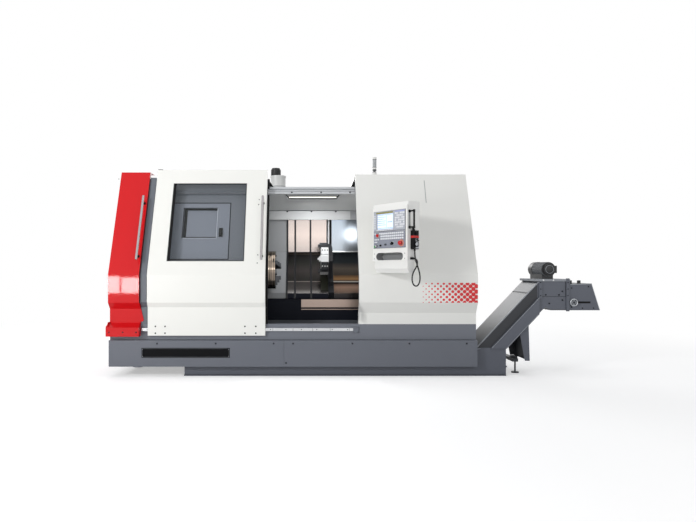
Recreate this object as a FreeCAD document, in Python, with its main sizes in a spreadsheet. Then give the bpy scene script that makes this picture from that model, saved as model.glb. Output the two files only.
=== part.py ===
import FreeCAD, Part
import math
import os
import re
import Sketcher

# A slant bed turning lathe in its sheet metal enclosure, with a sliding front door, a hinged left
# end door, a swivelling control pendant and a hinged steel belt chip conveyor at its right end.
# +X runs along the spindle to the right, +Y to the back, +Z up. The origin is the centre of the
# cabinet's footprint, on the floor. All sizes are in millimetres.

SIZES = {
    # cabinet
    "body_length": 3900, "body_depth": 1850, "roof_height": 2078, "sheet": 3, "skin": 4,
    "skirt_bottom": 111, "skirt_top": 389, "skirt_setback": 20, "skirt_joint": -96,
    "band_top": 557, "band_setback": 67, "band_thickness": 12, "ledge_depth": 150,
    "rail_recess_low": 463, "rail_recess_high": 529, "rail_recess_depth": 6,
    # leaning front covers
    "lean": 21.6, "fold_height": 1084, "nose_height": 792, "end_wall_depth": 1000,
    "cover_left": 698, "cover_bevel_low": 676, "cover_top": 2215, "return_depth": 45,
    "door_inset": 410, "door_width": 1246, "door_bottom": 438, "door_top": 2270,
    "door_bevel_low": 739, "door_setback": 35, "window_margin_left": 196, "window_margin_right": 231,
    "window_low": 1230, "window_high": 2106, "glass_thickness": 6, "glass_lap": 20,
    "rail_low": 485, "rail_high": 516, "rail_thickness": 12, "rail_clearance": 0.5,
    "carriage_width": 90, "carriage_inset": 80, "carriage_low": 455, "carriage_high": 545,
    "beam_front": 470, "beam_rail_low": 1998, "beam_rail_high": 2035, "beam_depth": 90,
    "handle_radius": 13, "handle_reach": 60, "handle_low": 1222, "handle_high": 1929,
    "handle_inset": 42, "standoff_radius": 8, "standoff_inset": 62,
    "inner_gap": 130, "inner_cover_inset": 332, "inner_cover_right": -290,
    "inner_cover_top": 2180, "ridge_depth": 80, "post_setback": 24, "post_gap": 12,
    "hatch_inset": 550, "hatch_end": 1240, "hatch_low": 1250, "hatch_high": 1891,
    "hatch_gap": 3, "recess_inset": 721, "recess_end": 1100, "recess_low": 1487,
    "recess_high": 1827, "recess_depth": 30, "latch_width": 42, "latch_height": 105,
    "latch_inset": 1145, "latch_low": 1495,
    # red end door
    "end_door_width": 328, "end_door_top": 2240, "end_door_depth": 640, "kick_low": 433,
    "kick_high": 543, "kick_reach": 15, "kick_side": 20, "end_bevel_low": 721,
    "hinge_radius": 15, "hinge_pin": 6, "hinge_fit": 0.05, "knuckle_length": 70,
    # spindle, headstock and drive
    "spindle_depth": 450, "spindle_height": 1132, "spindle_radius": 90, "spindle_bore": 40,
    "chuck_bore": 45,
    "running_fit": 0.05, "headstock_inset": 350, "headstock_right": -430,
    "nose_radius": 150, "chuck_radius": 214, "chuck_face": -200, "chuck_length": 130,
    "jaw_width": 50, "jaw_inner": 66, "jaw_outer": 170, "jaw_seat": 40, "jaw_reach": 58,
    "jaw_fit": 0.4, "wall_hole": 165, "pulley_inset": 250, "pulley_width": 80,
    "spindle_pulley": 160, "motor_pulley": 110, "belt_thickness": 10, "belt_fit": 0.3, "belt_rim": 8,
    "motor_depth": 1330, "motor_height": 1500, "motor_radius": 165, "motor_length": 640,
    "motor_shaft": 24,
    # bed, ways and covers
    "bed_slant": 45, "cover_drop": 300, "way_drop": 420, "bed_clearance": 50, "bed_rear": 1500,
    "bed_front": 600, "bed_floor": 130, "bed_bridge": 330, "bed_back_top": 1290, "leg_depth": 1010,
    "slope_low": -79, "slope_high": 615, "lip_low": 800, "covers_top": 1790,
    "nest_step": 6, "leaf": 2.5, "wiper_width": 20, "wiper_clearance": 0.45,
    "wall_left": -425, "tail_way_step": 60,
    "foot_radius": 60, "foot_thickness": 25, "foot_screw": 20,
    # saddle, cross slide and turret
    "saddle_left": 314, "saddle_right": 760, "post_left": 404, "post_width": 65, "saddle_rise": 30,
    "way_fit": 0.3, "slide_rise": 95, "turret_reach": 184, "turret_radius": 150,
    "turret_left": 313, "turret_thickness": 85, "housing_half": 120, "housing_left": 402,
    "housing_right": 445, "stations": 12, "holder_height": 42, "holder_width": 62,
    "boss_radius": 60,
    # tailstock
    "tail_left": 1130, "tail_length": 330, "tail_radius": 120, "quill_radius": 55,
    "quill_out": 45, "centre_radius": 30, "centre_length": 95,
    # pendant
    "pendant_left": 834, "pendant_front": -45, "pendant_width": 505, "pendant_low": 1226,
    "pendant_high": 1772, "pendant_depth": 165, "pendant_turn": 56, "hood_rise": 38,
    "chin_low": 1105, "chin_depth": 100, "pivot_along": 110, "pivot_behind": 40,
    "pivot_radius": 22, "pivot_low": 1260, "pivot_high": 1745, "lug_length": 90,
    "grip_left": 55, "grip_width": 390, "grip_low": 1234, "grip_height": 76, "grip_depth": 90,
    "screen_low": 1532, "screen_height": 200, "screen_width": 400, "screen_left": 20,
    "panel_low": 1360, "panel_height": 165, "unit_depth": 8,
    "button_fit": 0.3, "stop_radius": 20, "cycle_radius": 14, "knob_radius": 16,
    # handwheel unit and its cable
    "handheld_along": 40, "handheld_width": 70, "handheld_low": 1338, "handheld_height": 183,
    "handheld_depth": 40, "handheld_gap": 5, "dial_radius": 26, "cable_radius": 7,
    # conveyor
    "trough_front": 100, "trough_width": 430, "trough_left": -1164, "trough_right": 2281,
    "trough_low": 12, "trough_high": 293, "incline": 46.7, "incline_thickness": 240,
    "head_left": 2631, "head_right": 2969, "head_low": 702, "head_high": 1014,
    "chute_tip": 3287, "chute_top_right": 3195, "drive_along": 3000, "drive_height": 786,
    "sprocket_radius": 34, "belt_leaf": 10, "belt_inset": 10, "belt_low": 61,
    "belt_lift": 45, "belt_tail": 60, "casing": 4,
    "drive_shaft": 20, "bearing_disc": 41, "gearmotor_radius": 74, "gearmotor_along": 2752,
    "gearmotor_height": 1140, "leg_foot": 2470, "leg_bottom": 160,
    # coolant tank
    "tank_front": 545, "tank_depth": 460, "tank_left": -700, "tank_gap": 60,
    "tank_height": 300, "right_leg": 140,
    # on the roof
    "collector_along": -210, "collector_back": 1400, "collector_radius": 96,
    "collector_tall": 272, "tower_along": 928, "tower_back": 520, "tower_tall": 207,
    "tower_radius": 22,
    # electrical cabinet in the rear wall
    "cabinet_left": 700, "cabinet_width": 800, "cabinet_low": 700, "cabinet_tall": 1200,
    "cabinet_depth": 330, "cabinet_door": 20, "switch_radius": 32,
    "cable_entry": 32,
}

document = FreeCAD.newDocument("turning_lathe")
sheet = document.addObject("Spreadsheet::Sheet", "sizes")
for row, (alias, number) in enumerate(SIZES.items(), start=1):
    sheet.set(f"A{row}", alias.replace("_", " "))
    sheet.set(f"B{row}", str(number))
    sheet.setAlias(f"B{row}", alias)
document.recompute()

NODES = []


def formula(text):
    """The expression, with each size's name pointing at its cell in the sheet."""
    def cell(word):
        return "sizes." + word.group() if word.group() in SIZES else word.group()
    return re.sub(r"[a-z]\w*", cell, str(text))


def value(text):
    """The number that an expression of sizes gives."""
    found = sheet.evalExpression(formula(text))
    return float(getattr(found, "Value", found))


def bind(item, **expressions):
    for prop, text in expressions.items():
        item.setExpression(prop.replace("__", "."), formula(text))


# The nose plane is the most forward upright plane of the front covers. Every depth below is
# counted back from it, so a point is (x, depth, z).
NOSE = "(-body_depth / 2)"
RIGHT = "(body_length / 2)"
LEFT = "(-body_length / 2)"
BACK = "body_depth"

# Where the pieces at the left end start and end, counted from that end.
DOOR_LEFT = f"({LEFT} + door_inset)"
INNER_COVER_LEFT = f"({LEFT} + inner_cover_inset)"
HEADSTOCK_LEFT = f"({LEFT} + headstock_inset)"
PULLEY_LEFT = f"({LEFT} + pulley_inset)"
HATCH_LEFT = f"({LEFT} + hatch_inset)"
HATCH_RIGHT = f"({LEFT} + hatch_end)"
RECESS_LEFT = f"({LEFT} + recess_inset)"
RECESS_RIGHT = f"({LEFT} + recess_end)"
LATCH_CENTRE = f"({LEFT} + latch_inset)"


def put(item, x, depth, z):
    bind(item, Placement__Base__x=x, Placement__Base__y=f"{NOSE} + {depth}", Placement__Base__z=z)
    return item


def box(name, low, size):
    item = document.addObject("Part::Box", name)
    bind(item, Length=size[0], Width=size[1], Height=size[2])
    return put(item, *low)


TURN = {
    "x": FreeCAD.Rotation(FreeCAD.Vector(0, 1, 0), 90),
    "y": FreeCAD.Rotation(FreeCAD.Vector(1, 0, 0), -90),
    "z": FreeCAD.Rotation(),
}


def rod(name, start, radius, length, axis):
    """A cylinder from its start point along the positive axis."""
    item = document.addObject("Part::Cylinder", name)
    item.Placement = FreeCAD.Placement(FreeCAD.Vector(), TURN[axis])
    bind(item, Radius=radius, Height=length)
    return put(item, *start)


PLANES = {"x": "YZ_Plane", "y": "XZ_Plane", "z": "XY_Plane"}


def prism(name, outline, start, length, axis):
    """A padded sketch. Its points are (depth, z) along x, (x, z) along y and (x, depth) along z."""
    body = document.addObject("PartDesign::Body", name)
    sketch = body.newObject("Sketcher::SketchObject", name + "_sketch")
    plane = [item for item in body.Origin.OriginFeatures if item.Role == PLANES[axis]][0]
    sketch.AttachmentSupport = [(plane, "")]
    sketch.MapMode = "FlatFace"
    corners = [FreeCAD.Vector(value(a), value(b), 0) for a, b in outline]
    count = len(corners)
    for place in range(count):
        sketch.addGeometry(Part.LineSegment(corners[place], corners[(place + 1) % count]))
    sketch.addConstraint([
        Sketcher.Constraint("Coincident", place, 2, (place + 1) % count, 1)
        for place in range(count)
    ])
    for place, (a, b) in enumerate(outline):
        for kind, text, at in (("DistanceX", a, 0), ("DistanceY", b, 1)):
            made = sketch.addConstraint(
                Sketcher.Constraint(kind, place, 1, corners[place][at]))
            sketch.setExpression(f"Constraints[{made}]", formula(text))
    pad = body.newObject("PartDesign::Pad", name + "_pad")
    pad.Profile = sketch
    pad.Reversed = axis == "y"
    bind(pad, Length=length)
    if axis == "x":
        return put(body, start, "0", "0")
    if axis == "y":
        return put(body, "0", start, "0")
    return put(body, "0", "0", start)


def fuse(name, *parts):
    item = document.addObject("Part::MultiFuse", name)
    item.Shapes = list(parts)
    item.Refine = True
    return item


def group(name, *parts):
    item = document.addObject("Part::Compound", name)
    item.Links = list(parts)
    return item


def cut(name, base, *tools):
    item = document.addObject("Part::Cut", name)
    item.Base = base
    item.Tool = tools[0] if len(tools) == 1 else fuse(name + "_tools", *tools)
    item.Refine = True
    return item


def feature(name, shape):
    item = document.addObject("Part::Feature", name)
    item.Shape = shape
    item.Placement = FreeCAD.Placement()
    return item


def node(item, label):
    item.Label = label
    NODES.append(item)
    return item


def shifted(outline, da, db):
    return [(f"{a} + {da}", f"{b} + {db}") for a, b in outline]


def strip(outline, da, db):
    """A closed band between an open outline and its copy moved by (da, db)."""
    return outline + list(reversed(shifted(outline, da, db)))


def lean_at(z, setback="0"):
    """The depth of the leaning face at height z, for a cover set back from the nose plane."""
    return f"({setback} + ({z} - fold_height) * tan(lean))"


def slanted(along, above):
    """A point in the bed's own slanted frame: along the slope from the foot of the spindle axis,
    and above the plane of the way covers."""
    foot_depth = "(spindle_depth + cover_drop * sin(bed_slant))"
    foot_height = "(spindle_height - cover_drop * cos(bed_slant))"
    return (f"({foot_depth} + ({along}) * cos(bed_slant) - ({above}) * sin(bed_slant))",
            f"({foot_height} + ({along}) * sin(bed_slant) + ({above}) * cos(bed_slant))")


def edge_fold(run, depth, foot_depth, foot_top):
    """The outline of a side fold behind a front run, shallower where the sill stands behind it."""
    first = run[0]
    back = [(f"{a} + {depth}", b) for a, b in reversed(run[2:])]
    return run + back + [(f"{first[0]} + {foot_depth}", foot_top),
                         (f"{first[0]} + {foot_depth}", first[1])]


def leaning(item):
    """Tilts a piece built upright to the angle of the front covers."""
    item.Placement = FreeCAD.Placement(
        FreeCAD.Vector(), FreeCAD.Rotation(FreeCAD.Vector(-1, 0, 0), value("lean")))
    bind(item, Placement__Rotation__Angle="lean")
    return item


# ---- bed casting: one grey iron casting with a slanted face for the saddle and, one step
# lower, the ways of the tailstock. It bridges the coolant tank and stands on levelling feet.
WAY = "(cover_drop - way_drop)"
TAIL_WAY = f"({WAY} - tail_way_step)"
BED_HALF = f"({RIGHT} - bed_clearance)"


def bed_casting():
    low_end = slanted("-105", WAY)
    step_end = slanted("-105", TAIL_WAY)
    front_end = slanted("-294", TAIL_WAY)
    top_end = slanted("620", WAY)
    outline = [
        ("bed_front", "bed_bridge"), ("leg_depth", "bed_bridge"), ("leg_depth", "bed_floor"),
        ("bed_rear", "bed_floor"), ("bed_rear", "bed_back_top"),
        (top_end[0], "bed_back_top"), top_end, low_end, step_end, front_end,
    ]
    main = prism("bed_main", outline, f"-{BED_HALF}", f"2 * {BED_HALF}", "x")
    legs = [
        box("bed_leg_left", (f"-{BED_HALF}", "bed_front", "bed_floor"),
            (f"{BED_HALF} + tank_left - tank_gap", "leg_depth - bed_front + 1",
             "bed_bridge - bed_floor + 1")),
        box("bed_leg_right", (f"{BED_HALF} - right_leg", "bed_front", "bed_floor"),
            ("right_leg", "leg_depth - bed_front + 1", "bed_bridge - bed_floor + 1")),
    ]
    pads = []
    for side, start in (("left", f"{LEFT} + sheet"), ("right", f"{BED_HALF} - 1")):
        for place, depth in enumerate(("700", "1300")):
            pads.append(box(f"bed_pad_{side}_{place}", (start, depth, "380"),
                            ("bed_clearance - sheet + 1", "120", "120")))
    return node(fuse("bed_casting", main, *legs, *pads), "bed_casting")


def levelling_feet():
    feet = []
    outer, inner, last = f"80 - {BED_HALF}", "tank_left - tank_gap - 80", f"{BED_HALF} - right_leg / 2"
    rows = [("bed_front + foot_radius", (outer, inner, last)),
            ("bed_rear - foot_radius", (outer, inner, "200", "1100", last))]
    for depth, places in rows:
        for place in places:
            name = f"foot_{len(feet)}"
            feet.append(fuse(
                name,
                rod(name + "_pad", (place, depth, "0"), "foot_radius", "foot_thickness", "z"),
                rod(name + "_screw", (place, depth, "foot_thickness - 1"), "foot_screw",
                    "bed_floor - foot_thickness + 1", "z"),
                rod(name + "_nut", (place, depth, "bed_floor - 30"), "foot_screw * 1.7", "29", "z")))
    return node(group("levelling_feet", *feet), "levelling_feet")


# ---- coolant tank: an open box of folded sheet under the bed
def coolant_tank():
    length = f"({BED_HALF} - right_leg - tank_gap - tank_left)"
    outer = box("tank_outer", ("tank_left", "tank_front", "0"),
                (length, "tank_depth", "tank_height"))
    inner = box("tank_inner", ("tank_left + casing", "tank_front + casing", "casing"),
                (f"{length} - 2 * casing", "tank_depth - 2 * casing", "tank_height"))
    return node(cut("coolant_tank", outer, inner), "coolant_tank")


# ---- lower cabinet: a front band with a sill over it, end walls and a rear wall
def base_frame():
    band = box("band", (LEFT, "band_setback", "skirt_top"),
               ("body_length", "band_thickness", "band_top - skirt_top"))
    ledge = box("ledge", (LEFT, "band_setback", "band_top - sheet"),
                ("body_length", "ledge_depth - band_setback", "sheet"))
    tall = "band_top - skirt_bottom"
    end_start = "band_setback + band_thickness"
    left = box("end_left", (LEFT, end_start, "skirt_bottom"), ("sheet", f"{BACK} - {end_start}", tall))
    right = box("end_right", (f"{RIGHT} - sheet", end_start, "skirt_bottom"),
                ("sheet", f"{BACK} - {end_start}", tall))
    rear = box("rear_low", (LEFT, f"{BACK} - sheet", "skirt_bottom"), ("body_length", "sheet", tall))
    recess = box("rail_recess", (INNER_COVER_LEFT, "band_setback - 1", "rail_recess_low"),
                 (f"cover_left + 6 - {INNER_COVER_LEFT}", "rail_recess_depth + 1",
                  "rail_recess_high - rail_recess_low"))
    gate = box("trough_gate", (f"{RIGHT} - 2 * sheet", "trough_front - 4", "skirt_bottom - 1"),
               ("4 * sheet", "trough_width + 8", "trough_high - skirt_bottom + 5"))
    return node(cut("base_frame", fuse("base_shell", band, ledge, left, right, rear), recess, gate),
                "base_frame")


def front_panel(name, start, end, closed_end):
    """One lower front panel: a sheet folded back along its top, with one folded end."""
    face = box(name + "_face", (start, "skirt_setback", "skirt_bottom"),
               (f"({end}) - ({start})", "sheet", "skirt_top - skirt_bottom"))
    top = box(name + "_top", (start, "skirt_setback", "skirt_top - sheet"),
              (f"({end}) - ({start})", "band_setback + band_thickness - skirt_setback", "sheet"))
    bottom = box(name + "_bottom", (start, "skirt_setback", "skirt_bottom"),
                 (f"({end}) - ({start})", "return_depth", "sheet"))
    end_face = box(name + "_end", (closed_end, "skirt_setback", "skirt_bottom"),
                   ("sheet", "band_setback + band_thickness - skirt_setback",
                    "skirt_top - skirt_bottom"))
    return node(fuse(name, face, top, bottom, end_face), name)


def lower_door_rail():
    bar = box("rail_bar", (f"{INNER_COVER_LEFT} + 8", "band_setback + rail_recess_depth - rail_thickness - 6",
                           "rail_low"),
              (f"641 - {INNER_COVER_LEFT} - 8", "rail_thickness + 6", "rail_high - rail_low"))
    stop = box("rail_stop", ("641", "band_setback + rail_recess_depth - rail_thickness - 2",
                             "rail_recess_low + 4"),
               ("57", "rail_thickness + 2", "rail_recess_high - rail_recess_low - 8"))
    return node(fuse("lower_door_rail", bar, stop), "lower_door_rail")


# ---- right front cover: one bent sheet with its end wall and a folded edge at the opening
FRONT = [("band_setback", "band_top"), ("band_setback", "cover_bevel_low"), ("0", "nose_height"),
         ("0", "fold_height"), (lean_at("cover_top"), "cover_top")]


def right_cover():
    bent = FRONT + [("end_wall_depth", "cover_top")]
    front = prism("cover_front", strip(FRONT, "skin", "0"), "cover_left",
                  f"{RIGHT} - cover_left", "x")
    top = box("cover_roof", ("cover_left", lean_at("cover_top"), "cover_top - skin"),
              (f"{RIGHT} - cover_left", f"end_wall_depth - {lean_at('cover_top')}", "skin"))
    fold = prism("cover_fold", strip(FRONT, "return_depth", "0"), "cover_left", "skin", "x")
    wall = prism("cover_wall", bent + [("end_wall_depth", "band_top")], f"{RIGHT} - skin",
                 "skin", "x")
    back = box("cover_back", ("cover_left", "end_wall_depth - skin", "roof_height"),
               (f"{RIGHT} - cover_left", "skin", "cover_top - roof_height"))
    side = box("cover_side", ("cover_left", "beam_front + beam_depth", "roof_height"),
               ("skin", "end_wall_depth - beam_front - beam_depth", "cover_top - roof_height"))
    return node(fuse("right_cover", front, top, fold, wall, back, side), "right_cover")


# ---- fixed grey cover in front of the headstock, with the opening for its hatch
def headstock_cover():
    left, right = INNER_COVER_LEFT, "inner_cover_right"
    top = lean_at("inner_cover_top", "inner_gap")
    face = [("inner_gap", "band_top"), ("inner_gap", "fold_height"), (top, "inner_cover_top")]
    wide = f"{right} - ({left})"
    skin = prism("inner_skin", strip(face, "skin", "0"), left, wide, "x")
    edge = prism("inner_edge", strip(face, "return_depth", "0"), f"{right} - skin", "skin", "x")
    ridge = box("inner_ridge", (left, top, "inner_cover_top - skin"), (wide, "ridge_depth", "skin"))
    back = box("inner_back", (left, f"{top} + ridge_depth - skin", "roof_height"),
               (wide, "skin", "inner_cover_top - roof_height"))
    sole = box("inner_sole", (left, "inner_gap", "band_top"), (wide, "skin", "20"))
    # a post fills the gap between the end door and the sliding door
    post_run = [("band_setback + 3", "band_top"), ("band_setback + 3", "door_bevel_low"),
                ("post_setback", "nose_height"), ("post_setback", "fold_height"),
                (lean_at("inner_cover_top", "post_setback"), "inner_cover_top")]
    post_right = f"({DOOR_LEFT} - post_gap)"
    post = prism("inner_post", strip(post_run, "skin", "0"), left, f"{post_right} - ({left})", "x")
    side_run = post_run[:-1] + [post_run[-1], (f"{top} + 1", "inner_cover_top"),
                                ("inner_gap + 1", "fold_height"), ("inner_gap + 1", "band_top")]
    side = prism("inner_post_side", side_run, f"{post_right} - skin", "skin", "x")
    hole = box("hatch_hole", (HATCH_LEFT, "inner_gap - 10", "hatch_low"),
               (f"{HATCH_RIGHT} - {HATCH_LEFT}", "ridge_depth * 6", "hatch_high - hatch_low"))
    return node(cut("headstock_cover", fuse("inner_shell", skin, edge, ridge, back, sole, post, side), hole),
                "headstock_cover")


def hatch():
    """The hatch plate sits in its opening on hinges and a stop frame, and has a square recess."""
    low, high = "(hatch_low + hatch_gap)", "(hatch_high - hatch_gap)"
    run = [(lean_at(low, "inner_gap"), low), (lean_at(high, "inner_gap"), high)]
    plate = prism("hatch_plate", strip(run, "skin * 1.4", "0"), f"{HATCH_LEFT} + hatch_gap",
                  f"{HATCH_RIGHT} - {HATCH_LEFT} - 2 * hatch_gap", "x")
    frame_run = [(lean_at("(hatch_low - 15)", "inner_gap + skin"), "hatch_low - 15"),
                 (lean_at("(hatch_high + 15)", "inner_gap + skin"), "hatch_high + 15")]
    stop = prism("hatch_stop", strip(frame_run, "skin", "0"), f"{HATCH_LEFT} - 15",
                 f"{HATCH_RIGHT} - {HATCH_LEFT} + 30", "x")
    middle = box("hatch_middle", (f"{HATCH_LEFT} + 20", "inner_gap", "hatch_low + 20"),
                 (f"{HATCH_RIGHT} - {HATCH_LEFT} - 40", "500", "hatch_high - hatch_low - 40"))
    pan_run = [(lean_at("recess_low", "inner_gap"), "recess_low"),
               (lean_at("recess_high", "inner_gap"), "recess_high")]
    pan_tall = [(lean_at("(recess_low - 6)", "inner_gap"), "recess_low - 6"),
                (lean_at("(recess_high + 6)", "inner_gap"), "recess_high + 6")]
    pan = prism("pan_outer", strip(pan_tall, "recess_depth + skin", "0"), f"{RECESS_LEFT} - 6",
                f"{RECESS_RIGHT} - {RECESS_LEFT} + 12", "x")
    hollow = prism("pan_inner", strip(shifted(pan_run, "-5", "0"), "recess_depth + 5", "0"),
                   RECESS_LEFT, f"{RECESS_RIGHT} - {RECESS_LEFT}", "x")
    body = fuse("hatch_body", plate, cut("hatch_frame", stop, middle), pan)
    return node(cut("hatch", body, hollow), "hatch")


def hatch_latch():
    """A flush turning latch: an upright handle plate on a short round stem."""
    centre = "(latch_low + latch_height / 2)"
    plate = document.addObject("Part::Box", "latch_plate")
    bind(plate, Length="latch_width", Width="8", Height="latch_height",
         Placement__Base__x="-latch_width / 2", Placement__Base__y="-12",
         Placement__Base__z="-latch_height / 2")
    stem = document.addObject("Part::Cylinder", "latch_stem")
    stem.Placement = FreeCAD.Placement(FreeCAD.Vector(0, -5, 0), TURN["y"])
    bind(stem, Radius="10", Height="4.7")
    latch = fuse("hatch_latch", plate, stem)
    return node(put(leaning(latch), LATCH_CENTRE, lean_at(centre, "inner_gap"), centre), "hatch_latch")


# ---- top beam with the upper door rail and two corner gussets, over the opening
def top_beam():
    rail = box("upper_rail", (DOOR_LEFT, "beam_front", "beam_rail_low"),
               (f"{RIGHT} - skin - {DOOR_LEFT}", "21", "beam_rail_high - beam_rail_low"))
    beam = box("upper_beam", ("inner_cover_right", "beam_front + 21", "beam_rail_low + 12"),
               (f"{RIGHT} - skin - inner_cover_right", "beam_depth - 21",
                "roof_height - beam_rail_low - 12"))
    cap = box("beam_cap", ("inner_cover_right", "beam_front + 2", "roof_height - 24"),
              (f"{RIGHT} - skin - inner_cover_right", "20", "24"))
    gussets = [
        prism("gusset_left", [("inner_cover_right", "roof_height"),
                              ("inner_cover_right + 64", "roof_height"),
                              ("inner_cover_right", "inner_cover_top")],
              "beam_front + 60", "skin", "y"),
        prism("gusset_right", [("cover_left", "roof_height"), ("cover_left - 42", "roof_height"),
                               ("cover_left", "roof_height + 96")],
              "beam_front + 60", "skin", "y"),
    ]
    return node(fuse("top_beam", rail, beam, cap, *gussets), "top_beam")


# ---- work area liner: ceiling, its upright flange, the left wall and the fixed way covers
COVER_RUN = [(slanted("slope_high", "0")[0], "covers_top"), slanted("slope_high", "0"),
             slanted("slope_low", "0"), (slanted("slope_low", "0")[0], "lip_low")]


def cover_leaf(name, level, start, length, top="covers_top"):
    """One sheet of the telescopic way cover. Each level nests one step behind the last."""
    run = shifted([(COVER_RUN[0][0], top)] + COVER_RUN[1:], f"nest_step * {level}", "0")
    return prism(name, strip(run, "leaf", "0"), start, length, "x")


def moving_cover(name, level, start, length, wiper_start):
    """A moving leaf with the wiper strip at its outer end, which rides over the next leaf."""
    run = shifted(COVER_RUN, f"nest_step * {level} + leaf - 0.5", "0")
    wiper = prism(name + "_wiper", strip(run, "nest_step - leaf + 0.5 - wiper_clearance", "0"),
                  wiper_start, "wiper_width", "x")
    return node(fuse(name, cover_leaf(name + "_leaf", level, start, length), wiper), name)


def work_liner():
    beam_back = "(beam_front + beam_depth)"
    flange = f"({COVER_RUN[0][0]} - 14)"
    ceiling_run = [(beam_back, "beam_rail_low + 22"), (flange, "1868"), (flange, "1757")]
    ceiling = prism("ceiling", strip(ceiling_run, "sheet", "sheet"), "wall_left",
                    f"{RIGHT} - skin - wall_left", "x")
    wall = prism("left_wall", [("inner_gap + 6", "band_top"), ("inner_gap + 6", "fold_height"),
                               (lean_at("(beam_rail_low + 22)", "inner_gap + 6"), "beam_rail_low + 22"),
                               (flange, "1868"), (flange, "1370"), slanted("slope_high - 20", "8"),
                               slanted("slope_low", "8"), ("bed_front - 30", "band_top")],
                 "wall_left", "sheet", "x")
    hole = rod("nose_hole", ("wall_left - 5", "spindle_depth", "spindle_height"), "wall_hole",
               "20", "x")
    fixed_top = "covers_top + 50"
    fixed_left = cover_leaf("fixed_left", 3, "wall_left", "80 - wall_left", fixed_top)
    fixed_right = cover_leaf("fixed_right", 1, "1010", f"{RIGHT} - skin - 1010", fixed_top)
    bridge = box("liner_bridge", ("wall_left", f"{flange} + 1", "covers_top + 20"),
                 ("80 - wall_left", "14 + 3 * nest_step", "12"))
    bridge_right = box("liner_bridge_right", ("1010", f"{flange} + 1", "covers_top + 20"),
                       (f"{RIGHT} - skin - 1010", "14 + nest_step", "12"))
    # an angle ties the left wall to the grey cover in front of it
    tie = box("liner_tie", ("wall_left", "inner_gap + skin", "band_top + 60"),
              ("sheet", "10", "400"))
    liner = fuse("liner_shell", ceiling, wall, fixed_left, fixed_right, bridge, bridge_right, tie)
    return node(cut("work_liner", liner, hole), "work_liner")


def work_lamp():
    """A long lamp with sloped ends, hung under the ceiling behind the beam."""
    beam_back = "(beam_front + beam_depth)"
    slope = f"((1868 - beam_rail_low - 22) / ({COVER_RUN[0][0]} - 14 - {beam_back}))"

    def under(depth):
        return f"(beam_rail_low + 22 + ({depth} - {beam_back}) * {slope})"
    near, far = f"({beam_back} + 4)", f"({beam_back} + 64)"
    outline = [(near, under(near)), (near, "beam_rail_low - 40"), (f"({near} + 10)", "beam_rail_low - 48"),
               (f"({far} - 10)", "beam_rail_low - 48"), (far, "beam_rail_low - 40"), (far, under(far))]
    body = prism("lamp_body", outline, "-96", "634", "x")
    ends = [
        prism("lamp_end_left", [("-97", "beam_rail_low - 60"), ("-50", "beam_rail_low - 60"),
                                ("-97", "beam_rail_low - 8")], near, f"{far} - {near}", "y"),
        prism("lamp_end_right", [("539", "beam_rail_low - 60"), ("492", "beam_rail_low - 60"),
                                 ("539", "beam_rail_low - 8")], near, f"{far} - {near}", "y"),
    ]
    return node(cut("work_lamp", body, *ends), "work_lamp")


# ---- rear enclosure: roof, end walls and rear wall with the cabinet for the electrics
def hinge_parts(name, x, depth, z, fixed):
    """A barrel hinge with an upright pin. The fixed half holds the pin and two short knuckles."""
    if fixed:
        pin = rod(name + "_pin", (x, depth, f"{z} - 32"), "hinge_pin", "knuckle_length + 64", "z")
        low = rod(name + "_low", (x, depth, f"{z} - 32"), "hinge_radius", "31.7", "z")
        high = rod(name + "_high", (x, depth, f"{z} + knuckle_length + 0.3"), "hinge_radius",
                   "31.7", "z")
        return [pin, low, high]
    barrel = rod(name + "_barrel", (x, depth, z), "hinge_radius", "knuckle_length", "z")
    bore = rod(name + "_bore", (x, depth, f"{z} - 1"), "hinge_pin + hinge_fit",
               "knuckle_length + 2", "z")
    return [barrel, bore]


HINGE_X = f"({LEFT} - hinge_radius - 1)"
HINGE_DEPTH = "(end_door_depth + 15)"
HINGE_HEIGHTS = ("700", "1330", "1960")
CABINET_RIGHT = "(cabinet_left + cabinet_width)"
CABINET_HINGE = (f"({CABINET_RIGHT} + 14)", f"({BACK} + hinge_radius + 1)")
CABINET_HEIGHTS = ("cabinet_low + 120", "cabinet_low + cabinet_tall - 190")


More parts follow.
